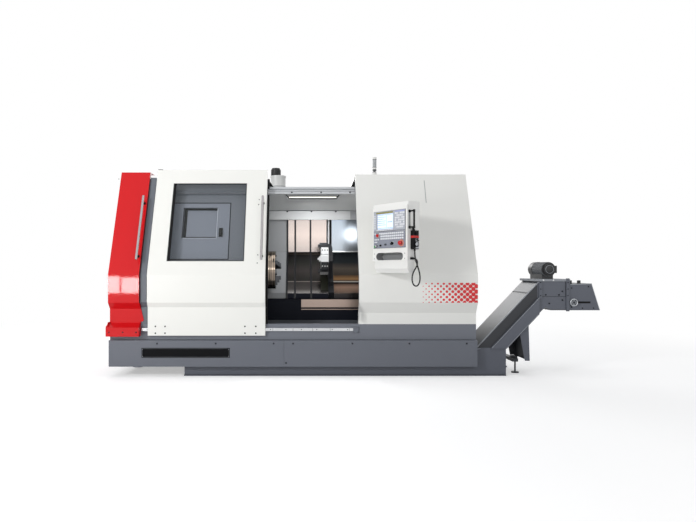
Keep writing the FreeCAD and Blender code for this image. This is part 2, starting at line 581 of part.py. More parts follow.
def rear_enclosure():
    wall_start = "(end_door_depth + 5)"
    tall = "roof_height - band_top"
    roof_front = "(beam_front + beam_depth)"
    parts = [
        box("rear_wall", (LEFT, f"{BACK} - sheet", "band_top"), ("body_length", "sheet", tall)),
        box("left_wall_panel", (LEFT, wall_start, "band_top"),
            ("sheet", f"{BACK} - {wall_start}", tall)),
        box("right_wall_panel", (f"{RIGHT} - sheet", "end_wall_depth", "band_top"),
            ("sheet", f"{BACK} - end_wall_depth", tall)),
        box("roof", (LEFT, "end_wall_depth", "roof_height - sheet"),
            ("body_length", f"{BACK} - end_wall_depth", "sheet")),
        box("roof_left", (LEFT, wall_start, "roof_height - sheet"),
            (f"inner_cover_right - {LEFT}", f"end_wall_depth - {wall_start}", "sheet")),
        box("roof_front", ("inner_cover_right", roof_front, "roof_height - sheet"),
            (f"{RIGHT} - skin - inner_cover_right", f"end_wall_depth - {roof_front}", "sheet")),
        box("cabinet_box", ("cabinet_left - 10", f"{BACK} - cabinet_depth", "cabinet_low - 10"),
            ("cabinet_width + 20", "cabinet_depth - 1", "cabinet_tall + 20")),
    ]
    for place, z in enumerate(HINGE_HEIGHTS):
        parts += hinge_parts(f"end_hinge_{place}", HINGE_X, HINGE_DEPTH, z, True)
        parts += [
            box(f"end_leaf_{place}_{side}", (f"{LEFT} - hinge_radius + 2", f"{HINGE_DEPTH} - 3", height),
                ("hinge_radius - 1", "50", "31.7"))
            for side, height in (("low", f"{z} - 32"), ("high", f"{z} + knuckle_length + 0.3"))
        ]
    for place, z in enumerate(CABINET_HEIGHTS):
        parts += hinge_parts(f"cabinet_hinge_{place}", *CABINET_HINGE, z, True)
        parts += [
            box(f"cabinet_leaf_{place}_{side}", (CABINET_HINGE[0], BACK, height),
                ("40", "4", "31.7"))
            for side, height in (("low", f"{z} - 32"), ("high", f"{z} + knuckle_length + 0.3"))
        ]
    hollow = box("cabinet_hollow", ("cabinet_left", f"{BACK} - cabinet_depth + sheet", "cabinet_low"),
                 ("cabinet_width", "cabinet_depth + 5", "cabinet_tall"))
    entry = rod("cable_hole", ("-1500", f"{BACK} - 20", "750"), "cable_entry", "40", "y")
    return node(cut("rear_enclosure", fuse("rear_shell", *parts), hollow, entry), "rear_enclosure")


def cabinet_door():
    plate = box("cabinet_plate", ("cabinet_left - 25", f"{BACK} + 0.5", "cabinet_low - 25"),
                ("cabinet_width + 37", "cabinet_door", "cabinet_tall + 50"))
    barrels, bores = [], []
    for place, z in enumerate(CABINET_HEIGHTS):
        barrel, bore = hinge_parts(f"cabinet_knuckle_{place}", *CABINET_HINGE, z, False)
        barrels.append(barrel)
        bores.append(bore)
        bores.append(box(f"cabinet_notch_{place}", (f"{CABINET_RIGHT} - 8", BACK, f"{z} - 33"),
                         ("30", "cabinet_door + 5", "32.8")))
        bores.append(box(f"cabinet_notch_high_{place}",
                         (f"{CABINET_RIGHT} - 8", BACK, f"{z} + knuckle_length + 0.2"),
                         ("30", "cabinet_door + 5", "32.8")))
    stem = rod("switch_bore", ("cabinet_left + 90", f"{BACK} - 1", "cabinet_low + 900"), "8.05",
               "cabinet_door + 5", "y")
    return node(cut("cabinet_door", fuse("cabinet_leafs", plate, *barrels), *bores, stem),
                "cabinet_door")


def main_switch():
    start = ("cabinet_left + 90", f"{BACK} + cabinet_door + 0.8", "cabinet_low + 900")
    disc = rod("switch_disc", start, "switch_radius", "12", "y")
    stem = rod("switch_stem", ("cabinet_left + 90", f"{BACK} + 1", "cabinet_low + 900"), "8",
               "cabinet_door + 2", "y")
    grip = box("switch_grip", ("cabinet_left + 83", f"{BACK} + cabinet_door + 12", "cabinet_low + 872"),
               ("14", "18", "56"))
    return node(fuse("main_switch", disc, stem, grip), "main_switch")


# ---- sliding door: a leaning tray of sheet with a window, a pane, a bar handle and carriages
DOOR_RIGHT = f"({DOOR_LEFT} + door_width)"
WINDOW_LEFT = f"({DOOR_LEFT} + window_margin_left)"
WINDOW_RIGHT = f"({DOOR_RIGHT} - window_margin_right)"
DOOR_RUN = [("door_setback", "door_bottom"), ("door_setback", "door_bevel_low"),
            ("0", "nose_height - 2"), ("0", "fold_height"), (lean_at("door_top"), "door_top")]


def door_panel():
    skin = prism("door_skin", strip(DOOR_RUN, "skin", "0"), DOOR_LEFT, "door_width", "x")
    fold = edge_fold(DOOR_RUN, "return_depth", "14", "band_top + 20")
    edges = [prism("door_edge_left", fold, DOOR_LEFT, "skin", "x"),
             prism("door_edge_right", fold, f"{DOOR_RIGHT} - skin", "skin", "x")]
    top = box("door_top_fold", (DOOR_LEFT, lean_at("door_top"), "door_top - skin"),
              ("door_width", "return_depth", "skin"))
    foot = box("door_foot", (DOOR_LEFT, "door_setback", "door_bottom"),
               ("door_width", "skin + 2", "skin"))
    window = box("door_window_hole", (WINDOW_LEFT, "0", "window_low"),
                 (f"{WINDOW_RIGHT} - {WINDOW_LEFT}", "600", "window_high - window_low"))
    shell = fuse("door_shell", skin, *edges, top, foot)
    return node(cut("door_panel", shell, window), "door_panel")


def door_window():
    low, high = "(window_low - glass_lap)", "(window_high + glass_lap)"
    behind = "skin"
    run = [(lean_at(low, behind), low), (lean_at(high, behind), high)]
    return node(prism("door_window", strip(run, "glass_thickness", "0"), f"{WINDOW_LEFT} - glass_lap",
                      f"{WINDOW_RIGHT} - {WINDOW_LEFT} + 2 * glass_lap", "x"), "door_window")


def bar_handle(name, x, setback):
    """A round bar that leans with its cover, on two standoffs."""
    middle = "((handle_low + handle_high) / 2)"
    half = "((handle_high - handle_low) / 2 / cos(lean))"
    bar = document.addObject("Part::Cylinder", name + "_bar")
    bind(bar, Radius="handle_radius", Height=f"2 * {half}", Placement__Base__z=f"-{half}",
         Placement__Base__y="-handle_reach")
    pieces = [bar]
    for side, at in (("low", f"-{half} + standoff_inset"), ("high", f"{half} - standoff_inset")):
        post = document.addObject("Part::Cylinder", f"{name}_post_{side}")
        post.Placement = FreeCAD.Placement(FreeCAD.Vector(), TURN["y"])
        bind(post, Radius="standoff_radius", Height="handle_reach", Placement__Base__z=at,
             Placement__Base__y="-handle_reach")
        pieces.append(post)
    handle = fuse(name, *pieces)
    return node(put(leaning(handle), x, lean_at(middle, setback), middle), name)


def door_carriages():
    """Two lower guide shoes before the lower rail and two upper hangers before the upper rail."""
    shoes = []
    places = (("left", f"{DOOR_LEFT} + carriage_inset"),
              ("right", f"{DOOR_RIGHT} - carriage_inset - carriage_width"))
    rail_front = "(band_setback + rail_recess_depth - rail_thickness - 6)"
    for side, x in places:
        back = f"({rail_front} - rail_clearance)"
        shoes.append(box(f"shoe_{side}", (x, "door_setback + skin", "carriage_low"),
                         ("carriage_width", f"{back} - door_setback - skin",
                          "carriage_high - carriage_low")))
        low, high = "(beam_rail_low - 12)", "(beam_rail_high + 12)"
        outline = [(lean_at(low, "skin"), low), ("beam_front - rail_clearance", low),
                   ("beam_front - rail_clearance", high), (lean_at(high, "skin"), high)]
        shoes.append(prism(f"hanger_{side}", outline, x, "carriage_width", "x"))
    return node(group("door_carriages", *shoes), "door_carriages")


# ---- red end door: front, side and top in one shell, with a kick bar and barrel hinges
END_RUN = [("band_setback - 5", "band_top + 2"), ("band_setback - 5", "end_bevel_low"),
           ("0", "nose_height - 3"), ("0", "fold_height"), (lean_at("end_door_top"), "end_door_top")]


def end_door_panel():
    bent = END_RUN + [("end_door_depth", "end_door_top")]
    skin = prism("end_skin", strip(END_RUN, "skin", "0"), LEFT, "end_door_width", "x")
    top = box("end_top", (LEFT, lean_at("end_door_top"), "end_door_top - skin"),
              ("end_door_width", f"end_door_depth - {lean_at('end_door_top')}", "skin"))
    side = prism("end_side", bent + [("end_door_depth", "band_top + 2")], LEFT, "skin", "x")
    edge = prism("end_edge", strip(END_RUN, "return_depth", "0"),
                 f"{LEFT} + end_door_width - skin", "skin", "x")
    kick = prism("kick_front", [("-kick_reach", "kick_low"), ("-kick_reach", "kick_high - 14"),
                                ("band_setback - 5", "kick_high + 30"),
                                ("band_setback - 1", "kick_high + 30"),
                                ("band_setback - 1", "kick_low")],
                 f"{LEFT} - kick_side", "end_door_width + kick_side", "x")
    kick_side = box("kick_side_bar", (f"{LEFT} - kick_side", "-kick_reach + 5", "kick_low"),
                    ("kick_side - 0.5", "end_door_depth + kick_reach - 5", "kick_high - kick_low"))
    web = box("kick_web", (f"{LEFT} - 5", "skin", "kick_high - 1"),
              ("4.5", "end_door_depth - skin", "40"))
    join = box("kick_join", (f"{LEFT} - 5", "band_setback", "band_top + 4"),
               ("7", "end_door_depth - band_setback", "16"))
    barrels, bores = [], []
    for place, z in enumerate(HINGE_HEIGHTS):
        barrel, bore = hinge_parts(f"end_knuckle_{place}", HINGE_X, HINGE_DEPTH, z, False)
        barrels.append(barrel)
        barrels.append(box(f"end_strap_{place}", (f"{LEFT} - hinge_radius - 1", "end_door_depth - 70", z),
                           ("hinge_radius + 2", "75", "knuckle_length")))
        bores.append(bore)
    shell = fuse("end_shell", skin, top, side, edge, kick, kick_side, web, join, *barrels)
    return node(cut("end_door_panel", shell, *bores), "end_door_panel")


# ---- headstock, spindle, chuck and drive
def headstock():
    base_low, base_high = slanted("-105", WAY), slanted("430", WAY)
    outline = [base_low, base_high, (base_high[0], "1420"), ("310", "1420"), ("235", "1250"),
               ("235", "930"), ("330", base_low[1])]
    main = prism("headstock_main", outline, HEADSTOCK_LEFT, f"headstock_right - {HEADSTOCK_LEFT}", "x")
    bore = rod("headstock_bore", (f"{HEADSTOCK_LEFT} - 5", "spindle_depth", "spindle_height"),
               "spindle_radius + running_fit", f"headstock_right - {HEADSTOCK_LEFT} + 10", "x")
    return node(cut("headstock_housing", main, bore), "headstock_housing")


CHUCK_BACK = "(chuck_face - chuck_length)"


def on_axis(name, x, radius, length):
    return rod(name, (x, "spindle_depth", "spindle_height"), radius, length, "x")


def spindle():
    shaft = on_axis("spindle_shaft", PULLEY_LEFT, "spindle_radius",
                    f"{CHUCK_BACK} - {PULLEY_LEFT} - 1")
    flange = on_axis("spindle_flange", "headstock_right + 2", "nose_radius",
                     f"{CHUCK_BACK} - headstock_right - 2")
    pulley = on_axis("spindle_sheave", PULLEY_LEFT, "spindle_pulley", "pulley_width")
    bore = on_axis("spindle_hole", f"{PULLEY_LEFT} - 5", "spindle_bore", f"{CHUCK_BACK} - {PULLEY_LEFT} + 10")
    return node(cut("spindle", fuse("spindle_solid", shaft, flange, pulley), bore), "spindle")


def turned_about_axis(item, angle):
    """A fixed turn of a piece about the spindle axis, then its place on that axis."""
    item.Placement = FreeCAD.Placement(
        FreeCAD.Vector(), FreeCAD.Rotation(FreeCAD.Vector(1, 0, 0), angle))
    return put(item, "0", "spindle_depth", "spindle_height")


def loose_box(name, low, size):
    """A box in a piece's own frame, before that piece is put in its place."""
    item = document.addObject("Part::Box", name)
    bind(item, Length=size[0], Width=size[1], Height=size[2],
         Placement__Base__x=low[0], Placement__Base__y=low[1], Placement__Base__z=low[2])
    return item


JAW_ANGLES = (60, 180, 300)


def chuck_body():
    drum = on_axis("chuck_drum", CHUCK_BACK, "chuck_radius", "chuck_length")
    hole = on_axis("chuck_hole", f"{CHUCK_BACK} - 5", "chuck_bore", "chuck_length + 10")
    slots = []
    for place, angle in enumerate(JAW_ANGLES):
        slot = group(f"chuck_slot_{place}",
                     loose_box(f"slot_box_{place}", ("chuck_face - jaw_seat", "-jaw_width / 2", "56"),
                               ("jaw_seat + 5", "jaw_width", "chuck_radius")))
        slots.append(turned_about_axis(slot, angle))
    groove = cut("chuck_groove",
                 on_axis("groove_outer", f"{CHUCK_BACK} + 40", "chuck_radius + 5", "12"),
                 on_axis("groove_inner", f"{CHUCK_BACK} + 39", "chuck_radius - 6", "14"))
    return node(cut("chuck_body", drum, hole, groove, *slots), "chuck_body")


def jaw(place, angle):
    """A stepped jaw. Its base runs in the chuck's slot, and its steps stand out of the face."""
    name = f"jaw_{place + 1}"
    wide = "(jaw_width - 2 * jaw_fit)"
    base = loose_box(name + "_base", ("chuck_face - jaw_seat + jaw_fit", f"-{wide} / 2", "jaw_inner"),
                     ("jaw_seat + 20", wide, "jaw_outer - jaw_inner"))
    middle = loose_box(name + "_middle", ("chuck_face + 19", f"-{wide} / 2", "jaw_inner"),
                       ("22", wide, "(jaw_outer - jaw_inner) * 0.72"))
    top = loose_box(name + "_top", ("chuck_face + 40", f"-{wide} / 2", "jaw_inner"),
                    ("jaw_reach - 40", wide, "(jaw_outer - jaw_inner) * 0.42"))
    solid = fuse(name, base, middle, top)
    return node(turned_about_axis(solid, angle), name)


def spindle_motor():
    left = f"({PULLEY_LEFT} + 150)"
    drum = rod("motor_drum", (left, "motor_depth", "motor_height"), "motor_radius", "motor_length", "x")
    foot = box("motor_foot", (f"{left} + 60", "motor_depth - 150", "bed_back_top"),
               ("motor_length - 120", "300", "motor_height - motor_radius + 30 - bed_back_top"))
    shaft = rod("motor_shaft_rod", (f"{left} - 60", "motor_depth", "motor_height"), "motor_shaft",
                "70", "x")
    box_top = box("motor_terminals",
                  (f"{left} + 220", "motor_depth - 70", "motor_height + motor_radius - 20"),
                  ("200", "140", "90"))
    return node(fuse("spindle_motor", drum, foot, shaft, box_top), "spindle_motor")


def motor_sheave():
    sheave = rod("sheave_solid", (PULLEY_LEFT, "motor_depth", "motor_height"), "motor_pulley",
                 "pulley_width", "x")
    hub = rod("sheave_hub", (f"{PULLEY_LEFT} + pulley_width - 1", "motor_depth", "motor_height"),
              "motor_shaft + 14", "28", "x")
    bore = rod("sheave_bore", (f"{PULLEY_LEFT} - 5", "motor_depth", "motor_height"),
               "motor_shaft + running_fit", "pulley_width + 60", "x")
    return node(cut("motor_pulley", fuse("sheave_body", sheave, hub), bore), "motor_pulley")


def belt_wire(centre_a, radius_a, centre_b, radius_b):
    """The closed line round two circles of one upright plane: two tangent lines and two arcs."""
    across = centre_b - centre_a
    heading = math.atan2(across.z, across.y)
    spread = math.acos((radius_a - radius_b) / across.Length)

    def on(centre, radius, angle):
        return centre + FreeCAD.Vector(0, radius * math.cos(angle), radius * math.sin(angle))
    upper, lower = heading + spread, heading - spread
    arc_a = Part.Arc(on(centre_a, radius_a, upper), on(centre_a, radius_a, heading + math.pi),
                     on(centre_a, radius_a, lower))
    arc_b = Part.Arc(on(centre_b, radius_b, lower), on(centre_b, radius_b, heading),
                     on(centre_b, radius_b, upper))
    edges = [arc_a.toShape(),
             Part.LineSegment(on(centre_a, radius_a, lower), on(centre_b, radius_b, lower)).toShape(),
             arc_b.toShape(),
             Part.LineSegment(on(centre_b, radius_b, upper), on(centre_a, radius_a, upper)).toShape()]
    return Part.Wire(edges)


def drive_belt():
    nose, start = value(NOSE), value(f"{PULLEY_LEFT} + belt_rim")
    low = FreeCAD.Vector(start, nose + value("spindle_depth"), value("spindle_height"))
    high = FreeCAD.Vector(start, nose + value("motor_depth"), value("motor_height"))
    fit, thick = value("belt_fit"), value("belt_thickness")
    radii = value("spindle_pulley"), value("motor_pulley")
    inner = Part.Face(belt_wire(low, radii[0] + fit, high, radii[1] + fit))
    outer = Part.Face(belt_wire(low, radii[0] + fit + thick, high, radii[1] + fit + thick))
    width = value("pulley_width - 2 * belt_rim")
    run = FreeCAD.Vector(width, 0, 0)
    loop = outer.extrude(run).cut(inner.extrude(run))
    return node(feature("drive_belt", loop), "drive_belt")


# ---- saddle with its covers, cross slide, turret and tool holders
def saddle():
    floor_level = f"({WAY} + way_fit)"
    block = [slanted("-100", floor_level), slanted("570", floor_level), slanted("570", "saddle_rise"),
             slanted("-100", "saddle_rise")]
    main = prism("saddle_main", block, "post_left", "post_width", "x")
    wings = [slanted("-100", floor_level), slanted("570", floor_level), slanted("570", "-34"),
             slanted("-76", "-34"), slanted("-100", "-60")]
    wing = prism("saddle_wing", wings, "saddle_left", "saddle_right - saddle_left", "x")
    return node(fuse("saddle", main, wing), "saddle")


def cross_slide():
    low = "(saddle_rise + way_fit)"
    plate = prism("slide_plate", [slanted("10", low), slanted("430", low),
                                  slanted("430", "slide_rise"), slanted("10", "slide_rise")],
                  "post_left + 6", "post_width - 12", "x")
    near, far = "(turret_reach - housing_half)", "(turret_reach + housing_half)"
    block = prism("turret_housing", [
        slanted(near, "slide_rise - 1"), slanted(far, "slide_rise - 1"),
        slanted(far, "cover_drop + housing_half - 40"), slanted(f"{far} - 40", "cover_drop + housing_half"),
        slanted(f"{near} + 40", "cover_drop + housing_half"),
        slanted(near, "cover_drop + housing_half - 40")],
        "housing_left", "housing_right - housing_left", "x")
    motor = prism("index_motor", [
        slanted(f"{far} - 1", "cover_drop - 50"), slanted(f"{far} + 80", "cover_drop - 50"),
        slanted(f"{far} + 80", "cover_drop + 50"), slanted(f"{far} - 1", "cover_drop + 50")],
        "housing_left + 2", "housing_right - housing_left - 4", "x")
    return node(fuse("cross_slide", plate, block, motor), "cross_slide")


def turret_point(angle, radius):
    """A point at an angle and radius from the turret's axis, in its own plane."""
    turned = math.radians(angle)
    return (f"({math.cos(turned):.6f} * {radius})", f"({math.sin(turned):.6f} * {radius})")


def turret_disc():
    corner = "(turret_radius / cos(180 / stations))"
    count = SIZES["stations"]
    outline = [turret_point(360 * (place + 0.5) / count, corner) for place in range(count)]
    disc = prism("turret_prism", outline, "0", "turret_thickness", "x")
    bind(disc, Placement__Base__y="0")
    boss = document.addObject("Part::Cylinder", "turret_boss")
    boss.Placement = FreeCAD.Placement(FreeCAD.Vector(), TURN["x"])
    bind(boss, Radius="boss_radius", Height="housing_left - turret_left - way_fit")
    turret = fuse("turret_disc", disc, boss)
    centre = slanted("turret_reach", "cover_drop")
    return node(put(turret, "turret_left", *centre), "turret_disc")


HOLDER_STATIONS = (0, 2, 4, 6, 8, 10)


def tool_holders():
    """Blocks bolted on every other face of the turret, each with a square tool."""
    blocks = []
    for place in HOLDER_STATIONS:
        name = f"holder_{place}"
        block = loose_box(name + "_block", ("-12", "turret_radius + running_fit", "-holder_width / 2"),
                          ("turret_thickness + 10", "holder_height", "holder_width"))
        tool = loose_box(name + "_tool", ("-30", "turret_radius + 10", "-12"),
                         ("80", "25", "25"))
        holder = fuse(name, block, tool)
        holder.Placement = FreeCAD.Placement(
            FreeCAD.Vector(),
            FreeCAD.Rotation(FreeCAD.Vector(1, 0, 0), 360 * place / SIZES["stations"]))
        blocks.append(put(holder, "turret_left", *slanted("turret_reach", "cover_drop")))
    return node(group("tool_holders", *blocks), "tool_holders")


# ---- tailstock: a casting on the lower ways, with its quill and centre
def tailstock():
    sole = f"({TAIL_WAY} + way_fit)"
    neck_back = f"({COVER_RUN[2][0]} - 14)"
    outline = [slanted("-290", sole), slanted("-118", sole), slanted("-118", f"{WAY} - 2"),
               (neck_back, "lip_low - 12"), (neck_back, "spindle_height"),
               ("spindle_depth", "spindle_height + 20"), ("spindle_depth - 100", "spindle_height - 20"),
               ("spindle_depth - 60", "spindle_height - 330")]
    body = prism("tail_body", outline, "tail_left", "tail_length", "x")
    barrel = on_axis("tail_barrel", "tail_left", "tail_radius", "tail_length")
    bore = on_axis("tail_bore", "tail_left - 5", "quill_radius + running_fit", "tail_length + 10")
    return node(cut("tailstock_body", fuse("tail_solid", body, barrel), bore), "tailstock_body")


def quill():
    sleeve = on_axis("quill_sleeve", "tail_left - quill_out", "quill_radius", "tail_length")
    nose = document.addObject("Part::Cone", "quill_centre")
    nose.Placement = FreeCAD.Placement(FreeCAD.Vector(), TURN["x"])
    bind(nose, Radius1="2", Radius2="centre_radius", Height="centre_length + 1")
    put(nose, "tail_left - quill_out - centre_length", "spindle_depth", "spindle_height")
    return node(fuse("tailstock_quill", sleeve, nose), "tailstock_quill")


# ---- pendant: built square in its own frame, then turned about its front left corner
def pendant_place(item):
    item.Placement = FreeCAD.Placement(
        FreeCAD.Vector(), FreeCAD.Rotation(FreeCAD.Vector(0, 0, -1), value("pendant_turn")))
    bind(item, Placement__Rotation__Angle="pendant_turn")
    return put(item, "pendant_left", "pendant_front", "0")


def loose_rod(name, start, radius, length, axis):
    item = document.addObject("Part::Cylinder", name)
    item.Placement = FreeCAD.Placement(FreeCAD.Vector(), TURN[axis])
    bind(item, Radius=radius, Height=length, Placement__Base__x=start[0],
         Placement__Base__y=start[1], Placement__Base__z=start[2])
    return item


def pendant_housing():
    main = loose_box("pendant_box", ("0", "0", "pendant_low"),
                     ("pendant_width", "pendant_depth", "pendant_high - pendant_low"))
    hood = loose_box("pendant_hood", ("0", "14", "pendant_high - 1"),
                     ("pendant_width", "pendant_depth - 14", "hood_rise + 1"))
    chin = prism("pendant_chin", [("15", "pendant_low + 1"), ("15", "chin_low + 45"),
                                  ("45", "chin_low"), ("chin_depth", "chin_low"),
                                  ("chin_depth", "pendant_low + 1")], "14", "pendant_width - 28", "x")
    bind(chin, Placement__Base__y="0")
    lugs, bores = [], []
    pivot = ("pivot_along", "pendant_depth + pivot_behind")
    for place, z in enumerate(("pendant_low + 90", "pendant_high - 190")):
        lugs.append(loose_rod(f"lug_{place}", (*pivot, z), "pivot_radius + 14", "lug_length", "z"))
        lugs.append(loose_box(f"lug_web_{place}", ("pivot_along - pivot_radius - 14", "pendant_depth - 1", z),
                              ("2 * pivot_radius + 28", "pivot_behind + 1", "lug_length")))
        bores.append(loose_rod(f"lug_bore_{place}", (*pivot, f"{z} - 5"), "pivot_radius + running_fit",
                               "lug_length + 10", "z"))
    slot = [
        loose_box("grip_slot", ("grip_left + grip_height / 2", "-5", "grip_low"),
                  ("grip_width - grip_height", "grip_depth + 5", "grip_height")),
        loose_rod("grip_end_left", ("grip_left + grip_height / 2", "-5", "grip_low + grip_height / 2"),
                  "grip_height / 2", "grip_depth + 5", "y"),
        loose_rod("grip_end_right", ("grip_left + grip_width - grip_height / 2", "-5",
                                     "grip_low + grip_height / 2"),
                  "grip_height / 2", "grip_depth + 5", "y"),
    ]
    seats = [
        loose_box("screen_seat", ("screen_left", "-1", "screen_low"),
                  ("screen_width + 60", "unit_depth + 1", "screen_height")),
        loose_box("panel_seat", ("screen_left", "-1", "panel_low"),
                  ("screen_width + 60", "unit_depth + 1", "panel_height")),
    ]
    wells = [loose_rod(f"well_{place}", (x, "unit_depth - 1", z), radius, "16", "y")
             for place, (x, z, radius) in enumerate(CONTROL_WELLS)]
    solid = fuse("pendant_solid", main, hood, chin, *lugs)
    return node(pendant_place(cut("pendant_housing", solid, *bores, *slot, *seats, *wells)),
                "pendant_housing")


ESTOP = ("screen_left + 405", "panel_low + 42")
CYCLE = ("screen_left + 62", "panel_low + 128")
KNOB = ("screen_left + 283", "panel_low + 42")
STEMS = (("estop", ESTOP, "9"), ("cycle", CYCLE, "6"), ("knob", KNOB, "5"))
CONTROL_WELLS = [(x, z, f"{radius} + button_fit + 1") for name, (x, z), radius in STEMS]


def pendant_screen():
    """Screen unit: a frame with the display sunk in its left part and a key block at the right."""
    frame = loose_box("screen_frame", ("screen_left", "-3", "screen_low"),
                      ("screen_width + 60", "unit_depth + 3", "screen_height"))
    display = loose_box("display_recess", ("screen_left + 38", "-4", "screen_low + 18"),
                        ("250", "4", "156"))
    keys = [
        loose_box(f"key_{row}_{column}",
                  (f"screen_left + 316 + {column * 23}", "-6", f"screen_low + 22 + {row * 23}"),
                  ("18", "4", "18"))
        for row in range(7) for column in range(6)
    ]
    return node(pendant_place(fuse("pendant_screen", cut("screen_cut", frame, display), *keys)),
                "pendant_screen")


def operator_panel():
    """Operator panel: a plate with three rows of flat keys and the holes of its controls."""
    plate = loose_box("panel_plate", ("screen_left", "-3", "panel_low"),
                      ("screen_width + 60", "unit_depth + 3", "panel_height"))
    keys = [
        loose_box(f"soft_key_{row}_{column}",
                  (f"screen_left + 106 + {column * 28}", "-6", f"panel_low + 84 + {row * 26}"),
                  ("22", "4", "17"))
        for row in range(3) for column in range(12)
    ]
    collars = [loose_rod("estop_collar", (ESTOP[0], "-6", ESTOP[1]), "stop_radius + 8", "4", "y"),
               loose_rod("lamp_ring", ("screen_left + 42", "-9", "panel_low + 22"), "13", "7", "y"),
               loose_rod("small_knob_a", ("screen_left + 110", "-15", "panel_low + 25"), "9", "13", "y"),
               loose_rod("small_knob_b", ("screen_left + 186", "-15", "panel_low + 32"), "11", "13", "y")]
    holes = [loose_rod(f"control_hole_{name}", (x, "-20", z), f"{radius} + running_fit", "40", "y")
             for name, (x, z), radius in STEMS]
    return node(pendant_place(cut("operator_panel", fuse("panel_solid", plate, *keys, *collars), *holes)),
                "operator_panel")


def push_button(name, place, stem, head, start, length):
    """A mushroom or flush button: a head in front of the panel and a stem through it."""
    stem_rod = loose_rod(name + "_stem", (place[0], "-12", place[1]), stem, "20", "y")
    cap = loose_rod(name + "_cap", (place[0], start, place[1]), head, length, "y")
    return node(pendant_place(fuse(name, stem_rod, cap)), name)


def override_knob():
    stem = loose_rod("knob_stem", (KNOB[0], "-12", KNOB[1]), "5", "20", "y")
    cap = loose_rod("knob_cap", (KNOB[0], "-24", KNOB[1]), "knob_radius", "20.5", "y")
    grip = loose_box("knob_grip", (f"{KNOB[0]} - 4", "-32", f"{KNOB[1]} - knob_radius"),
                     ("8", "10", "2 * knob_radius"))
    return node(pendant_place(fuse("override_knob", stem, cap, grip)), "override_knob")


def pendant_fittings():
    """Black fittings on the pendant's right side: a pull handle, the hook and the cable clip."""
    bar = loose_rod("pull_bar", ("pendant_width + 62", "28", "1543"), "8", "176", "z")
    arms = [loose_rod(f"pull_arm_{place}", ("pendant_width", "28", z), "8", "62", "x")
            for place, z in enumerate(("1552", "1710"))]
    hook = loose_box("hook", ("pendant_width", "66", "handheld_low + handheld_height - 30"),
                     ("handheld_gap", "18", "62"))
    clip = loose_box("clip", ("pendant_width", CLIP_ALONG, "1238"), ("24", "26", "22"))
    return node(pendant_place(group("pendant_fittings", fuse("pull_handle", bar, *arms), hook, clip)),
                "pendant_fittings")


CLIP_ALONG = "38"


def handheld_unit():
    side = "(pendant_width + handheld_gap)"
    top = "(handheld_low + handheld_height)"
    body = loose_box("handheld_body", (side, "handheld_along", "handheld_low"),
                     ("handheld_depth", "handheld_width", "handheld_height"))
    neck = loose_rod("handheld_gland", (f"{side} + handheld_depth / 2",
                                        "handheld_along + handheld_width / 2", "handheld_low - 16"),
                     "9", "17", "z")
    stop = loose_rod("handheld_stop", (f"{side} + handheld_depth - 1",
                                       "handheld_along + handheld_width / 2", f"{top} - 30"),
                     "13", "13", "x")
    hole = loose_rod("dial_hole", (f"{side} + handheld_depth - 12",
                                   "handheld_along + handheld_width / 2", "handheld_low + 48"),
                     "6 + running_fit", "14", "x")
    return node(pendant_place(cut("handheld_unit", fuse("handheld_solid", body, neck, stop), hole)),
                "handheld_unit")


def handheld_dial():
    side = "(pendant_width + handheld_gap + handheld_depth)"
    centre = ("handheld_along + handheld_width / 2", "handheld_low + 48")
    wheel = loose_rod("dial_wheel", (f"{side} + 0.4", *centre), "dial_radius", "12", "x")
    stem = loose_rod("dial_stem", (f"{side} - 11", *centre), "6", "14", "x")
    crank = loose_rod("dial_crank", (f"{side} + 12", "handheld_along + handheld_width / 2",
                                     "handheld_low + 48 - dial_radius + 8"), "5", "16", "x")
    return node(pendant_place(fuse("handheld_dial", wheel, stem, crank)), "handheld_dial")


# The cable hangs from the handheld unit in one long drop loop and comes back to its clip. Each
# point is (out from the pendant's side, along the side, height).
CABLE_ROUTE = [
    (25, 75, 1322), (25, 75, 1282), (25, 86, 1232), (27, 108, 1182), (29, 130, 1128),
    (30, 144, 1070), (30, 138, 1014), (29, 106, 976), (28, 62, 982), (26, 38, 1022),
    (22, 42, 1074), (17, 64, 1116), (14, 96, 1150), (13, 122, 1184), (13, 124, 1222),
    (13, 98, 1249), (13, 64, 1249),
]


def cable_path(points):
    """Straight runs joined by tangent arcs, each as large as its two runs allow."""
    edges, radii = [], []
    start = points[0]
    for before, corner, after in zip(points, points[1:], points[2:]):
        back, ahead = before - corner, after - corner
        half = back.getAngle(ahead) / 2
        turn = math.pi - 2 * half
        trim = 0.45 * min(back.Length, ahead.Length)
        radii.append(trim / math.tan(turn / 2))
        first = corner + FreeCAD.Vector(back).normalize() * trim
        last = corner + FreeCAD.Vector(ahead).normalize() * trim
        bisector = (FreeCAD.Vector(back).normalize() + FreeCAD.Vector(ahead).normalize()).normalize()
        reach = radii[-1] / math.sin(half) - radii[-1]
        edges.append(Part.LineSegment(start, first).toShape())
        edges.append(Part.Arc(first, corner + bisector * reach, last).toShape())
        start = last
    edges.append(Part.LineSegment(start, points[-1]).toShape())
    return Part.Wire(edges), radii


def handheld_cable():
    nose = value(NOSE)
    side = value("pendant_width")
    turn = FreeCAD.Placement(
        FreeCAD.Vector(value("pendant_left"), nose + value("pendant_front"), 0),
        FreeCAD.Rotation(FreeCAD.Vector(0, 0, -1), value("pendant_turn")))
    points = [turn.multVec(FreeCAD.Vector(side + out, along, z)) for out, along, z in CABLE_ROUTE]
    path, radii = cable_path(points)
    radius = value("cable_radius")
    section = Part.Wire([Part.Circle(points[0], points[1] - points[0], radius).toShape()])
    tube = path.makePipeShell([section], True, False)
    print("cable length %.0f, least bend radius %.0f, volume over section times length %.4f"
          % (path.Length, min(radii), tube.Volume / (math.pi * radius ** 2 * path.Length)))
    return node(feature("handheld_cable", tube), "handheld_cable")


